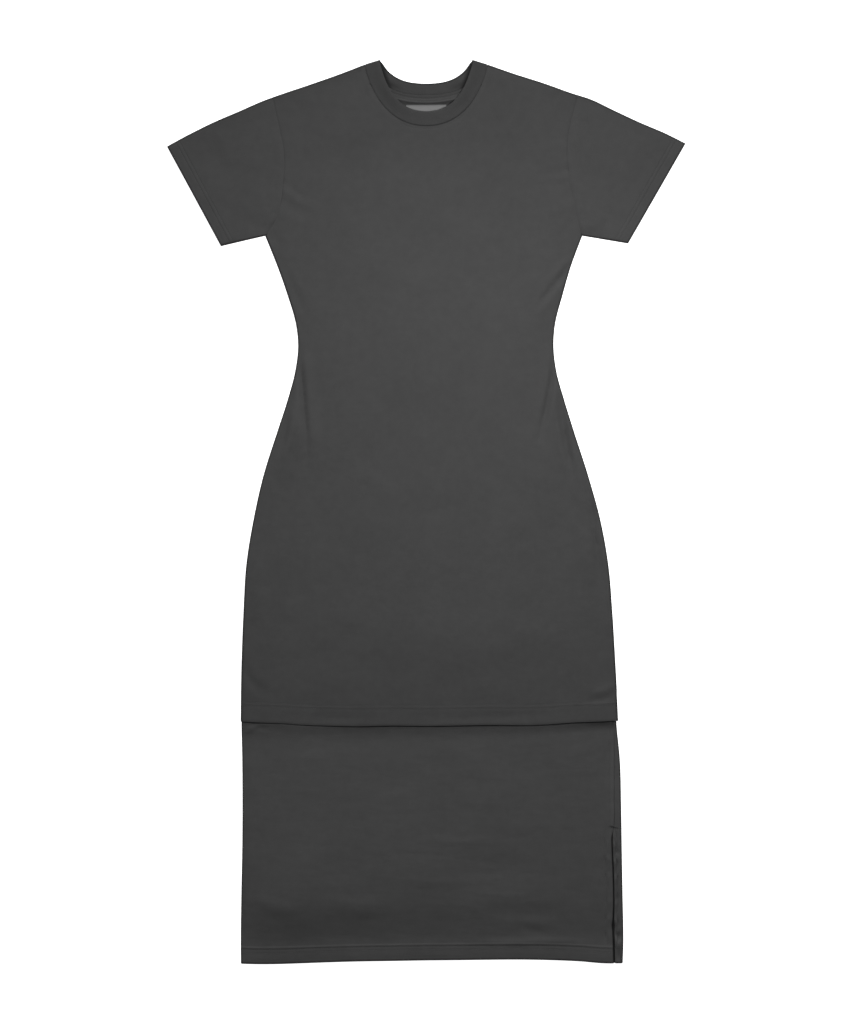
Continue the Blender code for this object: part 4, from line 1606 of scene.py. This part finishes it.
    def _shade(self, is_front: bool, points: Array, shade: Array) -> Array:
        """Painted shadow in the slit and under the body's hem, and a painted highlight on the rolled seam.

        Args:
            is_front: Whether it is the front.
            points: Its points.
            shade: Their painted shade at the folds.

        Returns:
            The whole painted shade.
        """
        x, y = points[..., 0], points[..., 1]
        if not is_front:
            # Painted shadow in the slit's crack, on the back panel under the gap
            crack_shadow = self.crack_shadow.at(np.abs(x - read(ROLLED_SEAM, "at", "value", y)))
            under = slice(FORM.edge_steps + 1, FORM.edge_steps + 1 + self.back_spans)
            shade[:, under] = np.maximum(shade, crack_shadow)[:, under]
            return shade
        inside = -SLIT.away(points, 0)
        opened = ramp(y, SLIT.top, SLIT.top - SLIT.taper)
        # Painted shadow beside the front's slit edge, then painted shadow under the body's hem
        shade = np.maximum(shade, self.slit_edge_shadow.at(inside) * opened)
        close = 1 - np.clip(FORM.past_hem(x, y) / FORM.overhang("shade_reach", x), 0, 1)
        shade = np.maximum(shade, FORM.overhang("shade", x) * close**2)
        # Painted highlight: a negative shade makes the rolled seam paler above the slit
        return shade + ridges(inside, [self.seam_highlight]) * (1 - opened) * ramp(y, *self.seam_highlight_from)

    def _dress(self, is_front: bool, laid: Laid) -> list[Run]:
        """Makes a panel a piece of cloth.

        Args:
            is_front: Whether it is the front.
            laid: The laid panel.

        Returns:
            The runs of its stitches.
        """
        node, hem, cut, steps, stitch, rests = (
            ("underskirt_front", self.front_hem, self.front_cut, self.edge_steps, SLIT.topstitch,
             ["underskirt_back"])
            if is_front else
            ("underskirt_back", self.back_hem, self.back_cut, self.strip_steps, SLIT.strip_stitch, []))
        points = laid.points
        left, right = (side.at(UNDERSKIRT_SIDES, points[..., 1]) for side in Flank)
        away = np.minimum(points[..., 0] - left, right - points[..., 0])
        # Painted shade at the folded flanks and at the hem's fold
        folds = np.maximum(fold_shade(away), fold_shade(laid.climbs)[:, None])
        piece = lay_sheet(node + "_panel", points, self._shade(is_front, points, folds))
        hand_over(piece, BRIGHTENED_CREASED_JERSEY, "jersey", node)
        outward = surface_normals(points) * (1 if is_front else -1)
        face = points.shape[1] - self.hidden_columns
        runs = hem.runs(points[:, :face + 1], outward[:, :face + 1], laid.climbs, laid.depths)
        column = face - len(steps) + steps.index(stitch)
        return runs + [self._slit_run(points[:, column], outward[:, column], len(hem.fold_rows()))]

    def build(self) -> tuple[list[Run], Run]:
        """Builds both panels and returns the runs of their stitches and of the bar tack."""
        front, back = self._front(), self._back()
        spots = np.concatenate([laid.points.reshape(-1, 3) for laid in (front, back)])
        return self._dress(True, front) + self._dress(False, back), self._tack_run(spots)

    def _tack_run(self, spots: Array) -> Run:
        """The short slanted bar across the rolled seam at the slit's top.

        Args:
            spots: The points of both panels, which it lies on.

        Returns:
            The run of its stitches.
        """
        width, level = SLIT.tack
        seam = sum(SLIT.edges(level)) / 2
        x = np.linspace(seam - 0.5 * width, seam + 0.5 * width, SLIT.tack_spots)
        y = level - SLIT.tack_slant * (x - seam)
        z = [spots[np.hypot(*(spots[:, :2] - spot).T) < SLIT.tack_reach, 2].max() + CLOTH / 2
             for spot in zip(x, y)]
        return Run(np.stack([x, y, z], axis=-1), np.tile((0.0, 0.0, 1.0), (len(x), 1)))

    def _slit_run(self, points: Array, outward: Array, first: int) -> Run:
        """The topstitching beside the slit, over a column of points, on the face above the hem."""
        levels = points[:, 1]
        sewn = (levels < SLIT.tack[1]) & (levels > FORM.underskirt_hem + SLIT.stitched_from)
        rows = np.flatnonzero(sewn & (np.arange(len(levels)) > first))
        return face_run(points[rows], outward[rows])


@dataclass
class NeckRib:
    """The neck band: a strip of rib knit folded double round the neck's edge."""

    rib_pitch: float = 2.1
    points_per_rib: int = 4
    relief: float = 0.16
    thickness: float = 0.7
    edge_lift: float = 1.2
    corner_rise: float = 3.4
    height: float = 1.8
    seat: float = 0.5
    side: Ridge = Ridge(52.0, 26.0, 2.2)
    rows: Steps = (0.2, 0.9, 1.8, 3.2)
    even_rows: int = 6
    edge_rows: int = 5
    seam_taper: Pair = (2.6, 0.35)
    corner_from: Pair = (26.0, 50.0)
    corner_rim: Pair = (0.4, 5.0)
    corner_seam: Pair = (2.0, 9.0)
    # Painted shadow on the band's back inside the front band's edge, and painted shade at its folds over the
    # shoulders
    inner_edge_shadow: Fade = Fade(0.58, 1.5, 6.0)
    rib_fold_shade: float = 0.45
    cut: Pair = (0.52, 0.045)

    def _below_fold(self, end: Array, beyond: Array, distance: float) -> Array:
        """Shortens a neck line's last stretch.

        Args:
            end: The line's end, on the neck's fold.
            beyond: The stretch's other end.
            distance: How far below the fold the line is to end.

        Returns:
            The line's new end.
        """
        fold = np.array([FRONT_SEAM.half_width - FRONT_EDGE.half_width, FRONT_EDGE.top - FRONT_SEAM.top])
        fold /= np.hypot(*fold)
        run = beyond - end
        sunk = abs(run[0]) * fold[1] - run[1] * fold[0]
        return end + run * distance / sunk

    def _bands(self, radius: float) -> list[tuple[Array, Array]]:
        """The front and the back half of the band, each on its side of the neck's fold.

        Args:
            radius: Distance below the fold at which a half begins.

        Returns:
            The seam line and the edge line of each half.
        """
        bands = []
        for curves in ((FRONT_SEAM, FRONT_EDGE), (BACK_SEAM, BACK_EDGE)):
            lines = []
            for curve in curves:
                line = curve.line(CURVE_STEPS)
                line[0] = self._below_fold(line[0], line[3], radius)
                line[-1] = self._below_fold(line[-1], line[-4], radius)
                lines.append(np.delete(line, [1, 2, -2, -3], axis=0))
            ribs = round(span_lengths(lines[0]).sum() / self.rib_pitch)
            shares = np.linspace(0, 1, ribs * self.points_per_rib + 1)
            bands.append((beside(along(lines[0], shares), -SEAM_GAP / 2), along(lines[1], shares)))
        return bands

    def points(self) -> tuple[Array, Array, float]:
        """Sections across the folded strip, all the way round, their painted shade, and its area."""
        half = self.height / 2
        bend = (FORM.bodice_height - self.seat - half) / 2
        middle = half + bend
        front, (back_seam, back_edge) = self._bands(bend + half)
        back = back_seam[::-1], back_edge[::-1]
        steps = 2 * self.points_per_rib + 1
        turn = np.linspace(math.pi / 2, -math.pi / 2, steps)
        shares = np.linspace(0, 1, steps)[1:-1]
        spots = []
        for here, there, facing in ((front, back, 1), (back, front, -1)):
            spots += [(seam, edge, facing * turn[0]) for seam, edge in zip(*here)]
            for share, angle in zip(shares, facing * turn[1:-1]):
                seam, edge = (line[-1] + (other[0] - line[-1]) * share for line, other in zip(here, there))
                spots.append((seam, edge, angle))
        return self._sections(spots, bend, middle)

    def _sections(self, spots: list[tuple[Array, Array, float]], bend: float,
                  middle: float) -> tuple[Array, Array, float]:
        """Points of the folded strip.

        Args:
            spots: Seam point, edge point and angle round the neck's fold of each section.
            bend: Radius of the neck's fold.
            middle: Height of the middle of the laid neck.

        Returns:
            The points, section by section, their painted shade, and the area without the ribs.
        """
        face = (self.height - self.thickness) / 2
        arc = np.linspace(math.pi / 2, -math.pi / 2, self.edge_rows + 2)[1:-1]
        plain, ribbed = [], []
        for index, (seam, edge, angle) in enumerate(spots):
            width = float(np.hypot(*(edge - seam)))
            end = width - self.thickness / 2
            reach = np.concatenate([self.rows, np.linspace(5, end - face, self.even_rows)])
            rise = np.interp(reach, [0, self.seam_taper[0]], [self.seam_taper[1], 1]) ** 0.8 * face
            profile = list(zip(reach, rise))
            profile += [(end - face + face * math.cos(a), face * math.sin(a)) for a in arc]
            profile += [(across, -proud) for across, proud in zip(reach[::-1], rise[::-1])]
            wave = self.relief * math.cos(2 * math.pi * index / self.points_per_rib)
            lift = self.edge_lift + float(ridges(abs(edge[0]), [self.side]))
            lift = lift * (1 + math.sin(angle)) / 2
            for store, ridge in ((plain, 0.0), (ribbed, wave)):
                section = []
                for step, (across, proud) in enumerate(profile):
                    share = step / (len(profile) - 1)
                    rib = ridge * math.copysign(1, 0.5 - share) * abs(math.cos(math.pi * share))
                    out = bend + (proud + rib)
                    x, y = seam + (edge - seam) * across / width
                    raised = lift * float(ramp(across / width, 0.15, 1.0))
                    section.append((x, y + out * math.cos(angle), middle + out * math.sin(angle) + raised))
                store.append(section)
        plain, ribbed = np.array(plain + plain[:1]), np.array(ribbed + ribbed[:1])
        angles = np.array([angle for _, _, angle in spots + spots[:1]])[:, None]
        inside, side, _ = nearest(ribbed[..., :2], FRONT_EDGE.line(CURVE_STEPS))
        inside *= side
        behind = (1 - np.sin(angles)) / 2 * ramp(np.abs(ribbed[..., 0]), *self.corner_from)
        sewn = nearest(ribbed[..., :2], BACK_SEAM.line(CURVE_STEPS))[0]
        corner = self.corner_rise * behind * ramp(inside, *self.corner_rim)
        ribbed[..., 2] += corner * ramp(sewn, *self.corner_seam)
        # Painted shadow inside the front band's edge, painted shade at the shoulder folds and at the back's
        # rim
        shade = behind * self.inner_edge_shadow.at(inside)
        shade = np.maximum(shade, self.rib_fold_shade * np.cos(angles) ** 4)
        rim = nearest(ribbed[..., :2], BACK_EDGE.line(CURVE_STEPS))[0]
        shade = np.maximum(shade, fold_shade(rim) * (1 - np.sin(angles)) / 2)
        return ribbed, shade, cloth_area(plain)

    def build(self) -> None:
        """Builds the band."""
        points, shade, area = self.points()
        piece = lay_sheet("neck_ribbing", points, shade, self.thickness)
        hand_over(piece, RIBBING, "rib", "neck_rib")


@dataclass
class NeckTape:
    """The tape over the back neck seam, with a row of stitches near each edge."""

    width: float = 12.0
    share: float = 0.78
    seat: float = 1.45
    stand: float = 1.8
    thickness: float = 0.6
    rows: int = 12
    steps: int = 64
    stitches: Pair = (4.4, 8.8)
    inset: float = 0.5
    stitch_depth: float = 0.7
    stitch_reach: float = 1.6
    ripple: float = 0.12
    ripple_turn: float = 9.0
    stands_from: float = 0.45
    # Painted shade along the tape's lower edge, which stands off the back
    lower_edge_shade: float = 0.55
    lower_edge_shade_from: Pair = (0.84, 0.97)
    cut: Pair = (0.138, 0.012)

    def build(self) -> list[Run]:
        """Builds the tape and returns the runs of its stitches."""
        shares = 0.5 + self.share * (np.linspace(0, 1, self.steps + 1) - 0.5)
        line = along(BACK_SEAM.line(CURVE_STEPS), shares)
        offsets = np.linspace(self.width + self.inset, self.inset, self.rows + 1)
        plan = np.array([beside(line, offset) for offset in offsets])
        down = (offsets - self.inset)[:, None] / self.width
        ripple = self.ripple * np.sin(np.linspace(0, self.ripple_turn, len(line)))
        z = self.seat + self.stand * ramp(down, self.stands_from, 1) + ripple
        for stitch in self.stitches:
            z = z - self.stitch_depth * bell((down * self.width - stitch) / self.stitch_reach)
        points = np.concatenate([plan, z[..., None]], axis=-1)
        # Painted shade at the tape's lower edge
        shade = np.broadcast_to(self.lower_edge_shade * ramp(down, *self.lower_edge_shade_from), points.shape[:2])
        piece = lay_sheet("neck_tape_strip", points, shade, self.thickness)
        hand_over(piece, TAPE, "tape", "neck_tape")
        outward = surface_normals(points)
        outward *= math.copysign(1, outward[3, 3, 2])
        rows = [int(np.argmin(np.abs(offsets - self.inset - stitch))) for stitch in self.stitches]
        return [face_run(points[row], outward[row], self.thickness) for row in rows]


@dataclass
class NeckLabel:
    """The bare woven label under the tape."""

    width: float = 56.0
    length: float = 24.0
    tuck: float = 1.6
    slant: float = 0.5
    thickness: float = 0.35
    seat: float = 1.15
    sag: Pair = (0.35, 2.4)
    bow: Pair = (0.18, 7.0)
    # Painted shadow that the tape casts on the top of the label
    tape_shadow: Fade = Fade(0.85, 2.2, 4.6)
    steps: tuple[int, int] = (28, 32)

    def build(self) -> None:
        """Builds the label."""
        top = BACK_SEAM.bottom - NeckTape.inset - NeckTape.width + self.tuck
        whole = self.length + self.tuck
        x, down = np.meshgrid(np.linspace(-0.5, 0.5, self.steps[0] + 1), np.linspace(1, 0, self.steps[1] + 1))
        y = top - whole * down + self.slant * x
        z = self.seat + self.sag[0] * np.sin(down * self.sag[1]) + self.bow[0] * np.cos(x * self.bow[1])
        points = np.stack([x * self.width, y, z], axis=-1)
        # Painted shadow of the tape on the label's top
        piece = lay_sheet("neck_label_patch", points, self.tape_shadow.at(down * whole), self.thickness)
        hand_over(piece, LABEL, "label", "neck_label")


@dataclass
class Studio:
    """White floor, soft light and the camera straight above."""

    camera_height: float = 3.985
    aim: Pair = (0.00042, 0.00028)
    lens: float = 100.0
    floor_size: float = 400.0
    floor_drop: float = 0.0004
    paper: float = 0.9
    glow: float = 1.1
    sky: float = 0.118
    horizon: float = 0.12
    key_light: float = 2.27
    key_spread: float = 54.0
    key_from: Pair = (0.0, 27.0)
    box_at: tuple[float, float, float] = (0.127, 0.298, 0.80)
    box_size: float = 0.2
    box_power: float = 3.95

    def build(self) -> None:
        """Builds the floor, the light and the camera."""
        deselect()
        self._floor()
        bpy.context.scene.world = self._sky()
        self._lights()
        bpy.ops.object.camera_add(location=(*self.aim, self.camera_height), rotation=(0, 0, 0))
        camera = bpy.context.active_object
        camera.data.lens = self.lens
        camera.data.sensor_width = 36
        camera.data.clip_end = 60
        bpy.context.scene.camera = camera
        bpy.context.scene.view_settings.view_transform = "Standard"

    def _floor(self) -> None:
        """A bright paper floor that throws no light back at the dress."""
        bpy.ops.mesh.primitive_plane_add(size=self.floor_size, location=(0, 0, -self.floor_drop))
        floor = bpy.context.active_object
        floor.name = "floor"
        material = bpy.data.materials.new("white_paper")
        wiring = Wiring(material)
        wiring.fill(wiring.shader, {
            "Base Color": (*[self.paper] * 3, 1), "Roughness": 0.9,
            "Emission Color": (1, 1, 1, 1), "Emission Strength": self.glow,
            "Normal": wiring.bump(wiring.noise(400, 2), 0.0001, 0.2)})
        floor.data.materials.append(material)
        floor.visible_diffuse = False
        floor.visible_glossy = False

    def _lights(self) -> None:
        """A wide low key light from the neck's side, and a small round lamp over the body."""
        azimuth, elevation = (math.radians(angle) for angle in self.key_from)
        towards = Vector((math.sin(azimuth) * math.cos(elevation),
                          math.cos(azimuth) * math.cos(elevation), math.sin(elevation)))
        bpy.ops.object.light_add(type="SUN", location=towards * 3)
        key = bpy.context.active_object
        key.rotation_euler = towards.to_track_quat("Z", "Y").to_euler()
        key.data.energy = self.key_light
        key.data.angle = math.radians(self.key_spread)

        bpy.ops.object.light_add(type="AREA", location=self.box_at)
        box = bpy.context.active_object
        box.data.shape = "DISK"
        box.data.size = self.box_size
        box.data.energy = self.box_power
        box.visible_camera = False

    def _sky(self) -> bpy.types.World:
        """An even white sky over a dark ground."""
        world = bpy.data.worlds.new("studio")
        wiring = Wiring(world, "Background")
        split = wiring.fill(wiring.add("SeparateXYZ"), {"Vector": wiring.places["Generated"]})
        fade = wiring.fill(wiring.add("MapRange"), {
            "From Max": self.horizon, "To Max": self.sky, "Value": split.outputs["Z"]})
        wiring.fill(wiring.shader, {"Strength": fade.outputs["Result"], "Color": (1, 1, 1, 1)})
        return world


# Folds that are drawn twice, as a swell and as the groove along it
LEFT_WAIST_FOLD = ((-182, 256), (-175, 192), (-172, 157), (-168.5, 115), (-166, 52))
RIGHT_WAIST_FOLD = ((183, 256), (176.5, 192), (170.5, 157), (161, 115), (152, 84))
RIGHT_HIP_FOLD = ((185, 176), (193, 115), (201, 72), (210, 30))

FRONT_CREASES = tuple(Crease(*row) for row in (
    (((-201, 462), (-180, 444), (-160, 434)), 7, -0.9, 0.3, True),
    (((-200, 452), (-176, 434), (-148, 422)), 8, 0.8, 0.2, True),
    (((-202, 436), (-180, 420), (-158, 412)), 7, -0.6, 0.2, True),
    (((-206, 420), (-190, 408), (-172, 402)), 6, 0.5, 0.2, True),
    (((-216, 386), (-199, 346), (-178, 296), (-166, 258)), 10, -0.9, 0.3, True),
    (((-208, 372), (-184, 326), (-162, 286)), 10, 0.6, -0.2, True),
    (((-172, 344), (-152, 330), (-130, 322)), 9, 0.5),
    (LEFT_WAIST_FOLD, 24, 2.8),
    (LEFT_WAIST_FOLD, 6.5, -5.0),
    (((-184, 170), (-188.5, 115), (-197, 80), (-208, 40)), 9, 2.4),
    (((-194, 150), (-199, 112), (-209, 70)), 7, -1.8),
    (((-152, 214), (-148, 150), (-146, 88)), 13, -0.7, -0.2),
    (((202, 346), (184, 324), (164, 300), (152, 276)), 8, -1.8, 0.35, True),
    (((196, 352), (178, 332), (160, 314)), 8, 0.9, 0.2, True),
    (((192, 322), (172, 298), (156, 272)), 9, 0.9, 0.2, True),
    (RIGHT_WAIST_FOLD, 19, 2.6),
    (RIGHT_WAIST_FOLD, 6.5, -5.2),
    (RIGHT_HIP_FOLD, 20, 2.6),
    (RIGHT_HIP_FOLD, 8, -5.4),
    (((217, 76), (229, 35), (238.5, -53), (245, -105), (247, -135)), 7, -3.4),
    (((201, 482), (180, 477), (154, 479)), 6, -0.8, 0.2, True),
    (((201, 470), (182, 466), (162, 468)), 6, 0.6, 0.2, True),
    (((206, 434), (186, 424), (160, 422)), 9, 0.6, 0, True),
    (((-258, -192), (-246, -222), (-226, -250)), 9, 0.8, 0.3, True),
    (((-256, -214), (-240, -242), (-212, -262)), 12, -1.0, 0.2, True),
    (((-240, -40), (-239, -100), (-237, -166)), 13, 1.0, 0.3),
    (((-222, -70), (-221, -130)), 12, -0.7),
    (((228, -10), (230, -70), (234, -120)), 12, 0.9, -0.3),
    (((264, -240), (246, -250), (222, -252)), 7, 0.9, 0.2, True),
    (((264, -256), (244, -262), (214, -262)), 7, -0.8, 0, True),
    (((-20, -284), (60, -287), (140, -284), (196, -280)), 6, -0.7),
    (((-190, -284), (-120, -288), (-60, -286)), 6, -0.45),
    (((-60, 330), (0, 318), (70, 322)), 26, 0.5),
    (((-120, 20), (-40, 6), (40, 10)), 30, -0.5),
    (((96, -150), (150, -170), (200, -176)), 24, 0.6),
    (((-150, -146), (-110, -170), (-60, -180)), 22, -0.6),
))

FRONT_HOLLOWS = tuple(Hollow(*row) for row in (
    ((-110, -205), (46, 26), 0.9, -12),
    ((120, -215), (60, 22), 0.6, 6),
    ((-90, 500), (60, 34), 0.8, 20),
    ((60, 150), (60, 90), -0.5),
    ((6, 252), (165, 104), -4.8),
    ((0, 495), (150, 46), 1.3),
    ((-70, 300), (70, 80), -1.4),
    ((10, -176), (170, 62), -2.4),
))

BACK_CREASES = tuple(Crease(*row) for row in (
    (((-204, 470), (-170, 440), (-120, 424)), 13, 1.1, 0.3, True),
    (((204, 462), (176, 430), (138, 412)), 12, 1.0, 0.2, True),
    (((-212, 372), (-184, 318), (-164, 262)), 12, 1.2, 0.3, True),
    (((200, 350), (172, 300), (156, 246)), 12, 1.1, -0.3, True),
    (((-60, 240), (-10, 226), (48, 232)), 16, 0.9),
    (((-90, 198), (-30, 188), (30, 192), (96, 204)), 14, 0.7),
    (((-236, -30), (-232, -100), (-236, -176)), 13, 0.9),
    (((240, -60), (232, -120), (236, -200)), 13, 0.8),
    (((-120, -120), (-60, -150), (10, -158)), 20, 0.6),
    (((60, -210), (130, -226), (200, -222)), 16, 0.7),
))

BODY_WAVES = (
    Wave(310, 70, 0.30, 0.4),
    Wave(190, 112, 0.18, 2.0),
    Wave(137, 24, 0.12, 4.1),
    Wave(88, 81, 0.05, 1.2),
)

UNDERSKIRT_CREASES = tuple(Crease(*row) for row in (
    (((254, -318), (216, -332), (176, -344)), 14, 0.35, 0.2, True),
    (((256, -326), (242, -342), (228, -358)), 7, 0.5, 0.2),
    (((250, -338), (238, -352), (224, -366)), 6, -0.35),
    (((-246, -530), (-214, -552), (-170, -562)), 15, 0.9, 0.2),
    (((-244, -380), (-240, -440), (-243, -500)), 11, -0.9, 0.2),
    (((40, -598), (110, -602), (180, -600), (244, -604)), 7, 0.8),
    (((120, -572), (146, -584), (176, -588)), 9, -0.8),
    (((60, -556), (130, -562), (206, -560)), 16, -1.1, 0.2),
    (((-40, -540), (-90, -552), (-150, -540)), 20, 1.2, 0.2),
    (((-238, -297), (-246, -303), (-254, -312)), 4.5, 1.4, 0.2, True),
    (((-240, -299), (-228, -303), (-216, -305)), 7, -0.6, 0.2, True),
    (((20, -384), (70, -398), (120, -398)), 22, 0.6),
    (((-30, -452), (40, -462), (110, -458)), 7, 0.35),
    (((-66, -474), (-10, -480), (60, -477)), 6, -0.35),
    (((10, -500), (84, -506), (140, -502)), 8, -0.3),
    (((-50, -512), (24, -518), (92, -516)), 6, 0.35),
    (((54, -530), (110, -536), (160, -534)), 6, 0.35),
    (((246, -480), (240, -530), (243, -580)), 7, 0.7),
))

UNDERSKIRT_HOLLOWS = tuple(Hollow(*row) for row in (
    ((-48, -379), (34, 16), 0.5, 8),
    ((-122, -497), (30, 24), 1.5, 30),
    ((104, -499), (56, 22), 1.1, -4),
    ((150, -420), (70, 40), -0.7),
    ((-160, -350), (70, 34), -0.6),
    ((30, -568), (60, 22), 0.6),
    ((-20, -545), (190, 100), -5.1, 0, 0.55),
    ((-208, -552), (98, 66), -3.9, 0, 0.36),
    ((-208, -518), (98, 94), -3.2, 0, 0.2),
    ((160, -549), (66, 60), -1.8, 0, 0.3),
))

STRIP_HOLLOWS = tuple(Hollow(*row) for row in (
    ((269, -593), (5, 4), 2.2),
    ((268, -604), (5, 6), -1.6),
    ((271, -621), (5, 7), 2.2),
    ((268, -476), (4, 4), 1.3),
    ((267, -540), (4, 5), 1.3),
))

UNDERSKIRT_BACK_CREASES = tuple(Crease(*row) for row in (
    (((-250, -360), (-200, -384), (-150, -388)), 12, 0.8, 0.2, True),
    (((-120, -500), (-40, -520), (40, -512)), 14, 0.7),
    (((90, -400), (150, -420), (220, -416)), 12, 0.6),
    (((-240, -560), (-180, -580), (-100, -576)), 10, 0.6),
))

UNDERSKIRT_WAVES = (
    Wave(240, 62, 0.22, 1.0),
    Wave(128, 98, 0.12, 0.2),
    Wave(84, 20, 0.06, 3.0),
)

LEFT_SLEEVE_CREASES = tuple(Crease(*row) for row in (
    (((-214, 408), (-226, 424), (-232, 452), (-230, 486)), 9, 0.5, 0.3, True),
    (((-224, 396), (-240, 402), (-256, 418)), 9, -0.6, 0.2, True),
    (((-240, 560), (-262, 520), (-276, 470)), 26, 0.8),
    (((-300, 530), (-296, 496), (-284, 460)), 18, -0.8),
    (((-216, 572), (-222, 548), (-224, 520)), 7, -0.7),
))

RIGHT_SLEEVE_CREASES = tuple(Crease(*row) for row in (
    (((224, 566), (221, 536), (222, 500)), 8, -0.9, 0.2),
    (((215, 556), (212, 520), (214, 480)), 8, 0.8),
    (((222, 398), (240, 404), (256, 424)), 10, 0.9, 0.2, True),
    (((262, 540), (282, 500), (284, 456)), 24, 0.7),
    (((310, 520), (302, 480), (284, 440)), 16, -0.7),
))


def main() -> None:
    """Builds the dress piece by piece, then the studio."""
    logging.basicConfig(level=logging.INFO, format="%(message)s")
    front = Bodice("bodice_front", "tunic_front", FRONT_SEAM, True,
                   creases=FRONT_CREASES + FRONT_HOLLOWS, waves=BODY_WAVES)
    back = Bodice("bodice_back", "tunic_back", BACK_SEAM, False, creases=BACK_CREASES)
    Sewing("bodice_hem_stitches").sew(front.build() + back.build())
    right_arm = Sleeve("sleeve_of_right_arm", "sleeve_right", Flank.LEFT, creases=LEFT_SLEEVE_CREASES)
    left_arm = Sleeve("sleeve_of_left_arm", "sleeve_left", Flank.RIGHT, creases=RIGHT_SLEEVE_CREASES)
    Sewing("cuff_stitches").sew(right_arm.build() + left_arm.build())
    underskirt = Underskirt(
        creases=UNDERSKIRT_CREASES + UNDERSKIRT_HOLLOWS, back_creases=UNDERSKIRT_BACK_CREASES,
        strip_creases=STRIP_HOLLOWS, waves=UNDERSKIRT_WAVES)
    runs, tack = underskirt.build()
    Sewing("underskirt_stitches").sew(runs)
    Sewing("slit_bar_tack", pitch=0.6, length=2.8, crosswise=True).sew([tack], TACK)
    NeckRib().build()
    Sewing("tape_stitches", pitch=2.7, length=2.3, thickness=0.45).sew(NeckTape().build(), slot="tape")
    NeckLabel().build()
    Studio().build()


if __name__ == "__main__":
    main()
